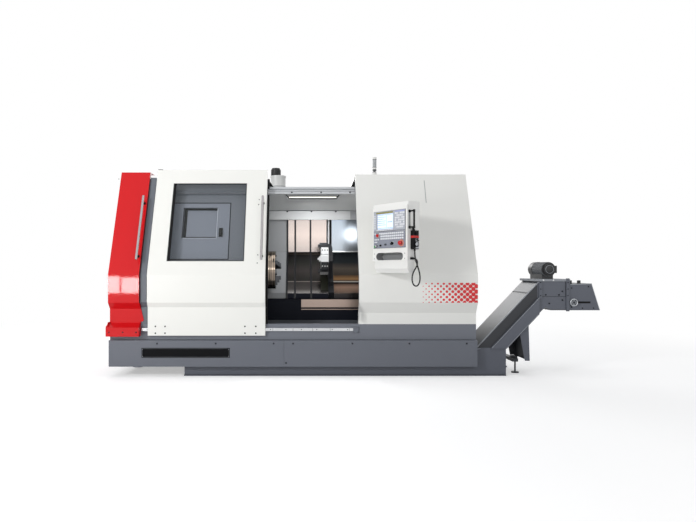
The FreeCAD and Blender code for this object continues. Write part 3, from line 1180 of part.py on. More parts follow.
def pendant_bracket():
    """A pivot post held to the right cover by two arms."""
    back = "(pendant_depth + pivot_behind)"
    x = f"(pendant_left + pivot_along * cos(pendant_turn) + {back} * sin(pendant_turn))"
    depth = f"(pendant_front - pivot_along * sin(pendant_turn) + {back} * cos(pendant_turn))"
    post = rod("pivot_post", (x, depth, "pivot_low"), "pivot_radius", "pivot_high - pivot_low", "z")
    arms = []
    for name, low, high in (("low", "pivot_low", "(pivot_low + 40)"),
                            ("high", "(pivot_high - 40)", "pivot_high")):
        arms.append(prism(f"pivot_arm_{name}", [(depth, low), (depth, high), (lean_at(high), high),
                                                (lean_at(low), low)],
                          f"{x} - pivot_radius", "2 * pivot_radius", "x"))
    return node(fuse("pendant_bracket", post, *arms), "pendant_bracket")


# ---- on the roof
def mist_collector():
    at = ("collector_along", "collector_back")
    drum = rod("collector_drum", (*at, "roof_height"), "collector_radius", "collector_tall", "z")
    rim = rod("collector_rim", (*at, "roof_height + collector_tall - 20"), "collector_radius + 6", "20", "z")
    beside = ("collector_along - 30", "collector_back")
    motor = rod("collector_motor", (*beside, "roof_height + collector_tall - 1"), "60", "88", "z")
    cap = rod("collector_cap", (*beside, "roof_height + collector_tall + 86"), "52", "16", "z")
    return node(fuse("mist_collector", drum, rim, motor, cap), "mist_collector")


def signal_tower():
    at = ("tower_along", "tower_back")
    foot = rod("tower_foot", (*at, "cover_top"), "tower_radius + 4", "26", "z")
    core = rod("tower_core", (*at, "cover_top + 25"), "tower_radius / 2", "tower_tall - 26", "z")
    rings = [rod(f"tower_lens_{place}", (*at, f"cover_top + {height}"), "tower_radius", "42", "z")
             for place, height in enumerate((52, 97, 142))]
    cap = rod("tower_cap", (*at, "cover_top + tower_tall - 20"), "tower_radius + 1", "20", "z")
    return node(fuse("signal_tower", foot, core, *rings, cap), "signal_tower")


# ---- chip conveyor
RISE = "tan(incline)"


def beside_incline(inside, at_z):
    """The x at height z of a line parallel to the incline, that far inside its lower face."""
    return f"(trough_right - ({inside}) / sin(incline) + (({at_z}) - trough_high + 2) / {RISE})"


def conveyor_length(name, whole, start, end):
    """The part of the whole conveyor frame between two upright planes."""
    item = document.addObject("Part::Common", name)
    item.Base = whole
    item.Tool = box(name + "_limit", (start, "-sheet", "-sheet"),
                    (f"{end} - {start}", "body_depth", "roof_height"))
    return item


def conveyor_frame():
    """Trough, lift and head: three lengths of welded casing, bolted end to end, with the leg, the
    motor plate and the feet."""
    thick = "incline_thickness"
    head_knee = beside_incline("0", "head_low + 35")
    outer = [("trough_left", "trough_low"), ("trough_right", "trough_low"),
             ("trough_right", "trough_high - 2"), (head_knee, "head_low + 35"),
             (f"{head_knee} + 60", "head_low"), ("head_right", "head_low"),
             ("head_right", "head_high"), (beside_incline(thick, "head_high"), "head_high"),
             (beside_incline(thick, "trough_high"), "trough_high"), ("trough_left", "trough_high")]
    inner_knee = beside_incline("casing", "head_low + 37")
    inner = [("trough_left + casing", "trough_low + casing"),
             ("trough_right - casing", "trough_low + casing"),
             (beside_incline("casing", "trough_high - 2"), "trough_high - 2"),
             (inner_knee, "head_low + 37"), (f"{inner_knee} + 60", "head_low + casing"),
             ("head_right + 5", "head_low + casing"), ("head_right + 5", "head_high - casing"),
             (beside_incline(f"{thick} - casing", "head_high - casing"), "head_high - casing"),
             (beside_incline(f"{thick} - casing", "trough_high + 5"), "trough_high + 5"),
             ("trough_left + casing", "trough_high + 5")]
    solid = prism("casing_outer", outer, "trough_front", "trough_width", "y")
    hollow = prism("casing_inner", inner, "trough_front + casing", "trough_width - 2 * casing", "y")
    flange_run = [(beside_incline("0", "trough_high"), "trough_high"),
                  (beside_incline("0", "head_low - 40"), "head_low - 40"),
                  (beside_incline(f"{thick} / 2", "838"), "838"),
                  (beside_incline(f"{thick} / 2", "trough_high"), "trough_high")]
    flanges = [prism("flange_front", flange_run, "trough_front - 24", "25", "y"),
               prism("flange_back", flange_run, "trough_front + trough_width - 1", "25", "y")]
    sill = box("trough_sill", ("trough_left - 6", "trough_front - 8", "0"),
               ("trough_right - trough_left + 6", "trough_width + 16", "trough_low"))
    plate = box("motor_plate", ("gearmotor_along - 150", "trough_front - 10", "head_high - 1"),
                ("362", "trough_width + 20", "22"))
    posts = []
    for place, (x, low, high) in enumerate((("head_left", "825", "head_high"),
                                            ("head_right - 46", "head_low - 10", "head_high + 30"))):
        for side, depth in (("front", "trough_front - 14"), ("back", "trough_front + trough_width - 1")):
            posts.append(box(f"head_post_{place}_{side}", (x, depth, low),
                             ("32", "15", f"{high} - ({low})")))
    leg_top = f"(({{}} - trough_right) * {RISE} + trough_high)"
    leg_outer = prism("leg_outer", [("leg_foot + 14", "leg_bottom"), ("leg_foot + 66", "leg_bottom"),
                                    ("leg_foot + 54", leg_top.format("(leg_foot + 54)")),
                                    ("leg_foot - 40", leg_top.format("(leg_foot - 40)"))],
                      "trough_front", "trough_width", "y")
    leg_hollow = prism("leg_inner", [("leg_foot - 60", "leg_bottom - 5"), ("leg_foot + 58", "leg_bottom - 5"),
                                     ("leg_foot + 47", "leg_bottom + 700"),
                                     ("leg_foot - 60", "leg_bottom + 700")],
                       "trough_front + 5", "trough_width - 10", "y")
    leg_limit = prism("leg_limit", [("leg_foot - 80", "leg_bottom - 10"),
                                    ("leg_foot + 90", "leg_bottom - 10"),
                                    ("leg_foot + 90", leg_top.format("(leg_foot + 90)")),
                                    ("leg_foot - 80", leg_top.format("(leg_foot - 80)"))],
                      "trough_front - 10", "trough_width + 20", "y")
    leg_clear = document.addObject("Part::Common", "leg_clear")
    leg_clear.Base = leg_hollow
    leg_clear.Tool = leg_limit
    arm = box("leg_arm", ("leg_foot - 60", "250", "leg_bottom - 34"), ("60", "430", "35"))
    brace = box("leg_brace", ("leg_foot - 20", "440", "leg_bottom - 34"), ("86", "60", "35"))
    feet = []
    for place, depth in enumerate(("290", "646")):
        feet += [rod(f"leg_pad_{place}", ("leg_foot - 20", depth, "0"), "40", "14", "z"),
                 rod(f"leg_screw_{place}", ("leg_foot - 20", depth, "13"), "9", "leg_bottom - 40", "z")]
    tie = box("trough_tie", (f"{RIGHT} - sheet - 30", "trough_front - 18", "160"), ("30", "19", "80"))
    casing_shell = cut("casing_shell", solid, hollow)
    leg = cut("leg_shell", leg_outer, leg_clear)
    whole = fuse("conveyor_whole", casing_shell, *flanges, sill, tie, plate, *posts, leg, arm, brace,
                 *feet)
    joints = ["(trough_left - 10)", f"({beside_incline(thick, 'trough_high')} + 100)",
              "(head_left - 40)", "(head_right + 10)"]
    lengths = [conveyor_length(f"conveyor_length_{place}", whole, start, end)
               for place, (start, end) in enumerate(zip(joints, joints[1:]))]
    return node(group("conveyor_frame", *lengths), "conveyor_frame")


def discharge_chute():
    """A bolted hood, open below, with a slot in each side plate for the tensioned shaft."""
    outer = [("head_right", "head_low"), ("chute_tip", "head_low"), ("chute_top_right", "head_high - 25"),
             ("head_right", "head_high - 30")]
    inner = [("head_right - 5", "head_low - 5"), ("chute_tip - 3", "head_low - 5"),
             ("chute_top_right - 6", "head_high - 30"), ("head_right - 5", "head_high - 35")]
    hood = prism("hood_outer", outer, "trough_front", "trough_width", "y")
    hollow = prism("hood_inner", inner, "trough_front + casing", "trough_width - 2 * casing", "y")
    slot = box("tension_slot", ("drive_along + 40", "trough_front - 5", "drive_height - 8"),
               ("140", "trough_width + 10", "16"))
    hole = rod("shaft_hole", ("drive_along", "trough_front - 5", "drive_height"),
               "drive_shaft + running_fit", "trough_width + 10", "y")
    return node(cut("discharge_chute", hood, hollow, slot, hole), "discharge_chute")


def conveyor_belt():
    """The closed loop of hinged plates: a thick line round the tail, both bends and the sprocket."""
    leaf, front = value("belt_leaf"), value(f"{NOSE} + trough_front + belt_inset")
    radius = value("sprocket_radius + 0.5") + leaf / 2
    low, drive = value("belt_low"), value("drive_height")
    tail, head = value("trough_left + belt_tail"), value("drive_along")

    def at(x, z):
        return FreeCAD.Vector(x, front, z)
    first = at(value(beside_incline("belt_lift", low)), low)
    second = at(value(beside_incline("belt_lift", drive - radius)), drive - radius)
    third = at(value(beside_incline(f"belt_lift + {2 * radius}", drive + radius)), drive + radius)
    fourth = at(value(beside_incline(f"belt_lift + {2 * radius}", low + 2 * radius)), low + 2 * radius)
    corners = [at(tail, low), first, second, at(head, drive - radius)]
    returns = [at(head, drive + radius), third, fourth, at(tail, low + 2 * radius)]
    edges = [Part.LineSegment(a, b).toShape() for a, b in zip(corners, corners[1:])]
    edges.append(Part.Arc(corners[-1], at(head + radius, drive), returns[0]).toShape())
    edges += [Part.LineSegment(a, b).toShape() for a, b in zip(returns, returns[1:])]
    edges.append(Part.Arc(returns[-1], at(tail - radius, low + radius), corners[0]).toShape())
    line = Part.Wire(edges)
    outer = Part.Face(line.makeOffset2D(leaf / 2, 2))
    inner = Part.Face(line.makeOffset2D(-leaf / 2, 2))
    width = value("trough_width - 2 * belt_inset")
    run = FreeCAD.Vector(0, width, 0)
    loop = outer.extrude(run).cut(inner.extrude(run))
    return node(feature("conveyor_belt", loop), "conveyor_belt")


def conveyor_shaft():
    shaft = rod("drive_rod", ("drive_along", "trough_front - 22", "drive_height"), "drive_shaft",
                "trough_width + 44", "y")
    wheels = [rod(f"sprocket_{place}", ("drive_along", depth, "drive_height"),
                  "sprocket_radius", "24", "y")
              for place, depth in enumerate(("trough_front + 30", "trough_front + trough_width - 54"))]
    discs = [rod(f"bearing_{place}", ("drive_along", depth, "drive_height"), "bearing_disc", "14", "y")
             for place, depth in enumerate(("trough_front - 15", "trough_front + trough_width + 1"))]
    return node(fuse("conveyor_shaft", shaft, *wheels, *discs), "conveyor_shaft")


def conveyor_motor():
    along, height = "gearmotor_along", "gearmotor_height"
    top = "head_high + 21"
    drum = rod("gearmotor_drum", (along, "trough_front + 30", height), "gearmotor_radius", "260", "y")
    bell = rod("gearmotor_bell", (along, "trough_front + 12", height), "gearmotor_radius - 14", "20", "y")
    gear = rod("gearmotor_gear", (along, "trough_front + 285", height), "gearmotor_radius + 8", "95", "y")
    foot = box("gearmotor_foot", (f"{along} - 60", "trough_front + 60", top),
               ("120", "310", f"{height} - 50 - {top}"))
    terminals = box("gearmotor_terminals", (f"{along} + 60", "trough_front + 90", f"{height} - 40"),
                    ("55", "110", "80"))
    return node(fuse("conveyor_motor", drum, bell, gear, foot, terminals), "conveyor_motor")


bed_casting()
levelling_feet()
coolant_tank()
base_frame()
front_panel("front_panel_left", LEFT, "skirt_joint - 1.5", LEFT)
front_panel("front_panel_right", "skirt_joint + 1.5", RIGHT, f"{RIGHT} - sheet")
lower_door_rail()
top_beam()
work_liner()
work_lamp()
headstock_cover()
hatch()
hatch_latch()
right_cover()
rear_enclosure()
cabinet_door()
main_switch()
door_panel()
door_window()
bar_handle("door_handle", f"{DOOR_RIGHT} - handle_inset", "0")
door_carriages()
end_door_panel()
bar_handle("end_door_handle", f"{LEFT} + end_door_width - 32", "0")
headstock()
spindle()
chuck_body()
for jaw_place, jaw_angle in enumerate(JAW_ANGLES):
    jaw(jaw_place, jaw_angle)
spindle_motor()
motor_sheave()
drive_belt()
moving_cover("way_cover_left_1", 2, "-92", "292", "-92")
moving_cover("way_cover_left_2", 1, "5", "303", "5")
moving_cover("way_cover_left_3", 0, "195", "post_left - 195", "195")
moving_cover("way_cover_right", 0, "post_left + post_width", "1340 - post_left - post_width",
             "1340 - wiper_width")
saddle()
cross_slide()
turret_disc()
tool_holders()
tailstock()
quill()
pendant_bracket()
pendant_housing()
pendant_screen()
operator_panel()
push_button("estop_button", ESTOP, "9", "stop_radius", "-32", "20")
push_button("cycle_button", CYCLE, "6", "cycle_radius", "-16", "8")
override_knob()
pendant_fittings()
handheld_unit()
handheld_dial()
handheld_cable()
mist_collector()
signal_tower()
conveyor_frame()
discharge_chute()
conveyor_belt()
conveyor_shaft()
conveyor_motor()

document.recompute()

for item in document.Objects:
    if "Invalid" in item.State or "Error" in item.State:
        raise RuntimeError(f"{item.Label} failed: {item.State}")
for item in NODES:
    if item.Shape.isNull() or not item.Shape.isValid() or item.Shape.Volume <= 0:
        raise RuntimeError(f"{item.Label} has no valid shape")

os.makedirs("parts", exist_ok=True)
for item in NODES:
    item.Shape.exportStep(f"parts/{item.Label}.step")
print(len(NODES), "nodes")
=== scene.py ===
import math

import bmesh
import bpy
import numpy as np
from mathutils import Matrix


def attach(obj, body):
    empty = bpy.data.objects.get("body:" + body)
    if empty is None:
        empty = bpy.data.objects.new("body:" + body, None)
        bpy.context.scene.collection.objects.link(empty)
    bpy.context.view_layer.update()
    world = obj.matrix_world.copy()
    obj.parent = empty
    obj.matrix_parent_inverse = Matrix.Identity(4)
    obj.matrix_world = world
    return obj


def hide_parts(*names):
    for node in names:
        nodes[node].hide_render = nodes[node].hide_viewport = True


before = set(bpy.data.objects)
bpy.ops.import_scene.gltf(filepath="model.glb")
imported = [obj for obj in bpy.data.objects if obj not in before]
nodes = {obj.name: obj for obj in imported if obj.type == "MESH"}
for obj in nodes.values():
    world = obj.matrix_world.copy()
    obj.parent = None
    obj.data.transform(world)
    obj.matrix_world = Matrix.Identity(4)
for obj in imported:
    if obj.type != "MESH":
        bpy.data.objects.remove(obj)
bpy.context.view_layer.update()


# ---------------------------------------------------------------------------------------------
# The studio. The camera stands six metres before the opening at chest height. A softbox hangs at
# the front left, weaker ones fill from the right, above and behind, and the floor is pale.

front = -0.925
view_width, view_height, focal_pixels = 696, 522, 560
scene = bpy.context.scene
scene.view_settings.view_transform = "Standard"
camera_data = bpy.data.cameras.new("camera")
camera_data.lens = focal_pixels / view_width * 36
camera_data.shift_x = (view_width / 2 - 300) / view_width
camera_data.shift_y = (268 - view_height / 2) / view_width
camera_data.clip_end = 200
camera = bpy.data.objects.new("camera", camera_data)
camera.location = (0.074, front - 5.9, 1.155)
camera.rotation_euler = (math.pi / 2, 0, 0)
scene.collection.objects.link(camera)
scene.camera = camera


def softbox(name, place, target, size, watts, shape="RECTANGLE"):
    """An area lamp at place that faces target, unseen by the camera itself."""
    data = bpy.data.lights.new(name, "AREA")
    data.shape = shape
    data.size, data.size_y = size
    data.energy = watts
    lamp = bpy.data.objects.new(name, data)
    lamp.location = place
    across, ahead, up = np.array(target) - np.array(place)
    lamp.rotation_euler = (math.atan2(math.hypot(across, ahead), -up), 0,
                           math.atan2(ahead, across) - math.pi / 2)
    lamp.visible_camera = False
    scene.collection.objects.link(lamp)
    return lamp


softbox("key", (-5.6, -6.0, 3.3), (0.3, -0.6, 1.2), (1.2, 1.1), 232)
softbox("fill", (5.0, -8.0, 3.0), (0.5, -0.5, 1.2), (4.0, 3.0), 38)
softbox("front", (0.6, -8.6, 2.3), (0.3, -0.3, 1.3), (2.6, 1.6), 38)
softbox("top", (0.0, -1.5, 7.5), (0.0, 0.0, 1.0), (7.0, 5.0), 80)
softbox("rear", (-1.0, 8.0, 5.0), (0.0, 0.0, 1.0), (7.0, 4.0), 330)
softbox("round_glare", (0.785, -0.53, 1.615), (0.785, 0.17, 1.615), (0.2, 0.2), 0.8, "DISK")
softbox("low_glare_left", (-3.57, -5.9, 0.83), (-1.9, front, 0.95), (0.27, 0.33), 11)
softbox("low_glare_right", (-3.215, -5.9, 0.82), (-1.7, front, 0.95), (0.34, 0.3), 12)


def linear(code):
    """Linear RGBA of an sRGB hex code: each channel c becomes ((c + 0.055) / 1.055) ^ 2.4, or
    c / 12.92 near black."""
    c = np.array([int(code[i:i + 2], 16) for i in (1, 3, 5)]) / 255
    c = np.where(c <= 0.04045, c / 12.92, ((c + 0.055) / 1.055) ** 2.4)
    return (*c.tolist(), 1.0)


def wired(tree, kind, links=(), **values):
    """A new shader node. Links are (output, input name or number), where a node stands for its
    first output. Values set its properties, or its inputs where the name starts with in_."""
    made = tree.nodes.new("ShaderNode" + kind)
    for key, setting in values.items():
        if key.startswith("in_"):
            made.inputs[int(key[3:]) if key[3:].isdigit() else key[3:]].default_value = setting
        else:
            setattr(made, key, setting)
    for output, socket in links:
        output = output if isinstance(output, bpy.types.NodeSocket) else output.outputs[0]
        tree.links.new(output, made.inputs[socket])
    return made


world = bpy.data.worlds.new("studio")
world.use_nodes = True
scene.world = world
tree = world.node_tree
tree.nodes.clear()
path = wired(tree, "LightPath")
seen = wired(tree, "Math", [(path.outputs["Is Camera Ray"], 0), (path.outputs["Is Glossy Ray"], 1)],
             operation="MAXIMUM")
seen = wired(tree, "Math", [(seen, 0), (path.outputs["Is Transmission Ray"], 1)], operation="MAXIMUM")
ambient = wired(tree, "Background", in_Color=linear("#f2f4f8"), in_Strength=0.33)
white = wired(tree, "Background", in_Color=(1, 1, 1, 1), in_Strength=1.0)
choice = wired(tree, "MixShader", [(seen, 0), (ambient, 1), (white, 2)])
wired(tree, "OutputWorld", [(choice, 0)])

floor_mesh = bpy.data.meshes.new("floor")
floor_mesh.from_pydata([(-60, -60, 0), (60, -60, 0), (60, 60, 0), (-60, 60, 0)], [], [(0, 1, 2, 3)])
floor = bpy.data.objects.new("floor", floor_mesh)
scene.collection.objects.link(floor)
floor_paint = bpy.data.materials.new("pale_floor")
floor_paint.use_nodes = True
tree = floor_paint.node_tree
near = tree.nodes["Principled BSDF"]
near.inputs["Base Color"].default_value = (0.86, 0.86, 0.86, 1)
near.inputs["Roughness"].default_value = 0.9
near.inputs["Emission Color"].default_value = (1, 1, 1, 1)
path = wired(tree, "LightPath")
glow = wired(tree, "Math", [(path.outputs["Is Camera Ray"], 0)], operation="MULTIPLY", in_1=0.42)
tree.links.new(glow.outputs[0], near.inputs["Emission Strength"])
place = wired(tree, "TexCoord")
away = wired(tree, "VectorMath", [(place.outputs["Object"], 0)], operation="LENGTH")
fade = wired(tree, "MapRange", [(away.outputs["Value"], "Value")],
             interpolation_type="SMOOTHSTEP", in_1=3.2, in_2=7.5)
far = wired(tree, "Emission", in_Color=(1, 1, 1, 1), in_Strength=1.0)
blend = wired(tree, "MixShader", [(fade.outputs["Result"], 0), (near, 1), (far, 2)])
tree.links.new(blend.outputs[0], tree.nodes["Material Output"].inputs[0])
floor_mesh.materials.append(floor_paint)


# ---------------------------------------------------------------------------------------------
# Bed, headstock and tailstock castings: grey iron, painted over a sand cast skin. The bed stands
# on levelling feet with turned steel screws.

def new_group(name, inputs, outputs):
    """An empty shader node group with its sockets: inputs are (name, kind, value)."""
    made = bpy.data.node_groups.new(name, "ShaderNodeTree")
    for label, kind, start in inputs:
        socket = made.interface.new_socket(label, in_out="INPUT", socket_type="NodeSocket" + kind)
        socket.default_value = start
    for label, kind in outputs:
        made.interface.new_socket(label, in_out="OUTPUT", socket_type="NodeSocket" + kind)
    return made, made.nodes.new("NodeGroupInput"), made.nodes.new("NodeGroupOutput")


def closed_group(made, out, **results):
    """Wires the results to the outputs of their names."""
    for name, node in results.items():
        made.links.new(node.outputs[0], out.inputs[name])
    return made


def grained_skin_group():
    """A painted or moulded skin. Tone is the colour lightened and darkened by large soft noise,
    Sheen is the roughness moved by the same noise, and Normal is bumped by small noise."""
    made, given, out = new_group(
        "grained_skin",
        [("Colour", "Color", (0.5, 0.5, 0.5, 1)), ("Roughness", "Float", 0.4),
         ("Grain", "Float", 300.0), ("Depth", "Float", 0.1), ("Drift", "Float", 0.04)],
        [("Tone", "Color"), ("Sheen", "Float"), ("Normal", "Vector")])
    place = wired(made, "TexCoord").outputs["Object"]
    small = wired(made, "TexNoise", [(place, "Vector"), (given.outputs["Grain"], "Scale")], in_Detail=3)
    large = wired(made, "TexNoise", [(place, "Vector")], in_Scale=2.3, in_Detail=5)
    centred = wired(made, "Math", [(large, 0)], operation="SUBTRACT", in_1=0.5)
    swing = wired(made, "Math", [(centred, 0), (given.outputs["Drift"], 1)], operation="MULTIPLY")
    level = wired(made, "Math", [(swing, 0)], operation="ADD", in_1=1.0)
    shade = wired(made, "HueSaturation", [(level, "Value"), (given.outputs["Colour"], "Color")])
    rough = wired(made, "Math", [(given.outputs["Roughness"], 0), (swing, 1)], operation="ADD")
    bump = wired(made, "Bump", [(small, "Height"), (given.outputs["Depth"], "Strength")], in_Distance=0.001)
    return closed_group(made, out, Tone=shade, Sheen=rough, Normal=bump)


def finish_from(group, name, code, roughness, metal=0.0, coat=0.0, specular=0.5, **settings):
    """A material whose colour, roughness and normal come from a group, with its named settings."""
    made = bpy.data.materials.new(name)
    made.use_nodes = True
    tree = made.node_tree
    shader = tree.nodes["Principled BSDF"]
    skin = wired(tree, "Group", node_tree=group)
    skin.inputs["Colour"].default_value = linear(code)
    skin.inputs["Roughness"].default_value = roughness
    for key, setting in settings.items():
        skin.inputs[key].default_value = setting
    for key, setting in (("Metallic", metal), ("Coat Weight", coat), ("Coat Roughness", 0.04),
                         ("Specular IOR Level", specular)):
        shader.inputs[key].default_value = setting
    for output, socket in (("Tone", "Base Color"), ("Sheen", "Roughness"), ("Normal", "Normal")):
        tree.links.new(skin.outputs[output], shader.inputs[socket])
    return made


grained_skin = grained_skin_group()


def skin_finish(name, code, roughness, grain=420.0, depth=0.16, drift=0.06, **more):
    return finish_from(grained_skin, name, code, roughness, Grain=grain, Depth=depth, Drift=drift, **more)


def drawn_steel_group():
    """Metal drawn along one axis: noise squeezed by Stretch across the grain moves the roughness
    and the normal, and soft clouds move the colour."""
    made, given, out = new_group(
        "drawn_steel",
        [("Colour", "Color", (0.6, 0.6, 0.6, 1)), ("Roughness", "Float", 0.3),
         ("Stretch", "Vector", (2.0, 300.0, 300.0)), ("Depth", "Float", 0.05)],
        [("Tone", "Color"), ("Sheen", "Float"), ("Normal", "Vector")])
    place = wired(made, "TexCoord").outputs["Object"]
    squeeze = wired(made, "VectorMath", [(place, 0), (given.outputs["Stretch"], 1)], operation="MULTIPLY")
    lines = wired(made, "TexNoise", [(squeeze, "Vector")], in_Scale=1.0, in_Detail=4)
    cloud = wired(made, "TexNoise", [(place, "Vector")], in_Scale=5.0)
    rough = wired(made, "MapRange", [(lines, "Value")], in_3=-0.05, in_4=0.05)
    total = wired(made, "Math", [(rough, 0), (given.outputs["Roughness"], 1)], operation="ADD")
    light = wired(made, "MapRange", [(cloud, "Value")], in_3=0.9, in_4=1.08)
    shade = wired(made, "HueSaturation", [(light, "Value"), (given.outputs["Colour"], "Color")])
    bump = wired(made, "Bump", [(lines, "Height"), (given.outputs["Depth"], "Strength")], in_Distance=0.0005)
    return closed_group(made, out, Tone=shade, Sheen=total, Normal=bump)


drawn_steel = drawn_steel_group()


def steel_finish(name, code, roughness, stretch=(2, 300, 300), depth=0.1):
    return finish_from(drawn_steel, name, code, roughness, metal=1.0, Stretch=stretch, Depth=depth)


def dress(finish, *names):
    """Gives the objects of some CAD nodes their finish."""
    for name in names:
        mesh = nodes[name].data
        mesh.materials.clear()
        mesh.materials.append(finish)


casting_paint = skin_finish("casting_paint", "#5c6066", 0.5, 160, 0.5, 0.12)
turned_steel = steel_finish("turned_steel", "#b9bcc0", 0.3, (300, 30, 30))
dress(casting_paint, "bed_casting", "headstock_housing", "tailstock_body", "motor_pulley")
dress(turned_steel, "levelling_feet", "spindle", "tailstock_quill")


# ---------------------------------------------------------------------------------------------
# Coolant tank and lower cabinet: folded sheet steel in dark grey powder coat. Two front panels
# hang below a band on domed screws, and a bare black plate is riveted to the left one.

tank_paint = skin_finish("tank_paint", "#4b4f54", 0.42)
cabinet_paint = skin_finish("cabinet_paint", "#676b74", 0.4)
band_paint = skin_finish("band_paint", "#70747d", 0.4)
dark_screw = steel_finish("dark_screw", "#3a3c40", 0.4)
plate_black = skin_finish("plate_black", "#0c0d10", 0.6, 700, 0.08, specular=0.1)
plate_line = skin_finish("plate_line", "#8d9094", 0.3, 700, 0.08)
dress(tank_paint, "coolant_tank")
dress(cabinet_paint, "front_panel_left", "front_panel_right")
dress(band_paint, "base_frame")


def add_piece(name, shapes, finish, body="machine", smooth=False, edge=0.0):
    """A mesh object from one (points, faces) or a list of them, welded, facing outwards, with
    rounded edges where asked, that rides on a body. Depths are counted from the machine's front."""
    points, faces = joined(*shapes) if isinstance(shapes, list) else shapes
    points = np.asarray(points, float) + (0, front, 0)
    mesh = bpy.data.meshes.new(name)
    mesh.from_pydata(points.tolist(), [], [list(map(int, face)) for face in faces])
    work = bmesh.new()
    work.from_mesh(mesh)
    bmesh.ops.remove_doubles(work, verts=work.verts, dist=1e-6)
    bmesh.ops.recalc_face_normals(work, faces=work.faces)
    work.to_mesh(mesh)
    work.free()
    mesh.materials.append(finish)
    mesh.polygons.foreach_set("use_smooth", [smooth] * len(mesh.polygons))
    mesh.update()
    made = bpy.data.objects.new(name, mesh)
    scene.collection.objects.link(made)
    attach(made, body)
    if edge:
        bevel = made.modifiers.new("edge", "BEVEL")
        bevel.width = edge
        bevel.segments = 2
        bevel.limit_method = "ANGLE"
    return made


def joined(*shapes):
    """Several (points, faces) as one."""
    points, faces, start = [], [], 0
    for more, some in shapes:
        points.append(np.asarray(more, float))
        faces += [[start + corner for corner in face] for face in some]
        start += len(more)
    return np.concatenate(points), faces


box_faces = [(0, 1, 3, 2), (4, 6, 7, 5), (0, 4, 5, 1), (2, 3, 7, 6), (0, 2, 6, 4), (1, 5, 7, 3)]


def block(low, high):
    """The six faces of an upright block."""
    (a, b, c), (d, e, f) = low, high
    return np.array([(x, y, z) for x in (a, d) for y in (b, e) for z in (c, f)]), box_faces


def across(axis):
    """Two unit vectors across an axis, right-handed with it, after the axis itself."""
    axis = np.asarray(axis, float) / np.linalg.norm(axis)
    other = np.array([0, 0, 1.0]) if abs(axis[2]) < 0.9 else np.array([1.0, 0, 0])
    side = np.cross(other, axis)
    side /= np.linalg.norm(side)
    return axis, side, np.cross(axis, side)


def turned(profile, centre, axis, steps=24):
    """A turned surface: point (i, j) = centre + axis * h_i + r_i * (cos a_j * u + sin a_j * v).
    The profile is a list of (radius, height), and an end at radius 0 closes it."""
    axis, u, v = across(axis)
    r, h = np.array(profile, float).T
    a = np.arange(steps) / steps * 2 * math.pi
    ring = np.cos(a)[:, None] * u + np.sin(a)[:, None] * v
    points = np.asarray(centre, float) + h[:, None, None] * axis + r[:, None, None] * ring[None]
    i, j = np.meshgrid(np.arange(len(r) - 1), np.arange(steps), indexing="ij")
    k = (j + 1) % steps
    faces = np.stack([i * steps + j, i * steps + k, (i + 1) * steps + k, (i + 1) * steps + j], -1)
    return points.reshape(-1, 3), faces.reshape(-1, 4).tolist()


def rod(start, end, radius, steps=24):
    """A plain round rod between two points."""
    length = float(np.linalg.norm(np.subtract(end, start)))
    profile = [(0, 0), (radius, 0), (radius, length), (0, length)]
    return turned(profile, start, np.subtract(end, start), steps)


def frame_strips(left, right, low, high, near, far, widths):
    """Four strips round an upright rectangle, as wide as given: left, right, lower and upper."""
    a, b, c, d = widths
    edges = ((left, low, left + a, high), (right - b, low, right, high),
             (left, low, right, low + c), (left, high - d, right, high))
    return [block((x, near, z), (end, far, top)) for x, z, end, top in edges]


def screw_heads(name, spots, radius, body="machine", axis=(0, -1, 0), finish=dark_screw):
    """Domed screw heads with a round socket, standing on a surface along an axis."""
    dome = [(0, -0.0005), (radius, -0.0005), (radius, radius * 0.15), (radius * 0.86, radius * 0.38),
            (radius * 0.5, radius * 0.5), (radius * 0.44, radius * 0.5), (radius * 0.4, radius * 0.1),
            (0, radius * 0.1)]
    return add_piece(name, [turned(dome, spot, axis, 14) for spot in spots], finish, body, smooth=True)


panel_front = 0.02
panel_screws = [(x, panel_front, 0.356) for x in (-1.438, -0.817, -0.206, 0.0, 0.628, 1.23, 1.837)]
screw_heads("panel_screws", panel_screws + [(-0.074, panel_front, 0.151)], 0.01)
add_piece("bare_plate", block((-1.601, panel_front - 0.003, 0.206), (-0.669, panel_front + 0.001, 0.31)),
          plate_black, edge=0.0012)
add_piece("bare_plate_line", frame_strips(-1.594, -0.676, 0.213, 0.303, panel_front - 0.0034,
                                          panel_front - 0.001, [0.0015] * 4), plate_line)
screw_heads("bare_plate_rivets", [(x, panel_front - 0.003, z) for x in (-1.59, -0.68)
                                  for z in (0.222, 0.294)], 0.004, finish=plate_line)

# A trim strip covers the joint between the band and the panels, and a foot seam runs along the tank.
add_piece("band_joint", block((-1.949, 0.0655, 0.3885), (1.949, 0.068, 0.392)), dark_screw)
add_piece("trough_seam", [block((x, 0.0905, 0.0), (x + 0.002, 0.093, 0.011)) for x in (-0.62, 0.55, 1.6)],
          dark_screw)


# ---------------------------------------------------------------------------------------------
# Lower guide rail of the sliding door: ground steel bars butted end to end in the recess of the
# band, each held by screws, with a painted stop block at the right end.

ground_steel = steel_finish("ground_steel", "#dcdee0", 0.2, (2, 200, 200), 0.05)
dress(ground_steel, "lower_door_rail")
rail_front = 0.055
rail_joints = [-0.215, 0.0, 0.209, 0.395, 0.598]
add_piece("rail_joints", [block((x - 0.0015, rail_front - 0.0004, 0.486),
                                (x + 0.0015, rail_front + 0.002, 0.515)) for x in rail_joints], dark_screw)
screw_heads("rail_screws", [(x, rail_front, 0.5005) for x in np.linspace(-1.55, 0.58, 14)], 0.005)
add_piece("rail_stop_cover", block((0.638, 0.0545, 0.4665), (0.6985, 0.0725, 0.5255)), cabinet_paint,
          edge=0.002)
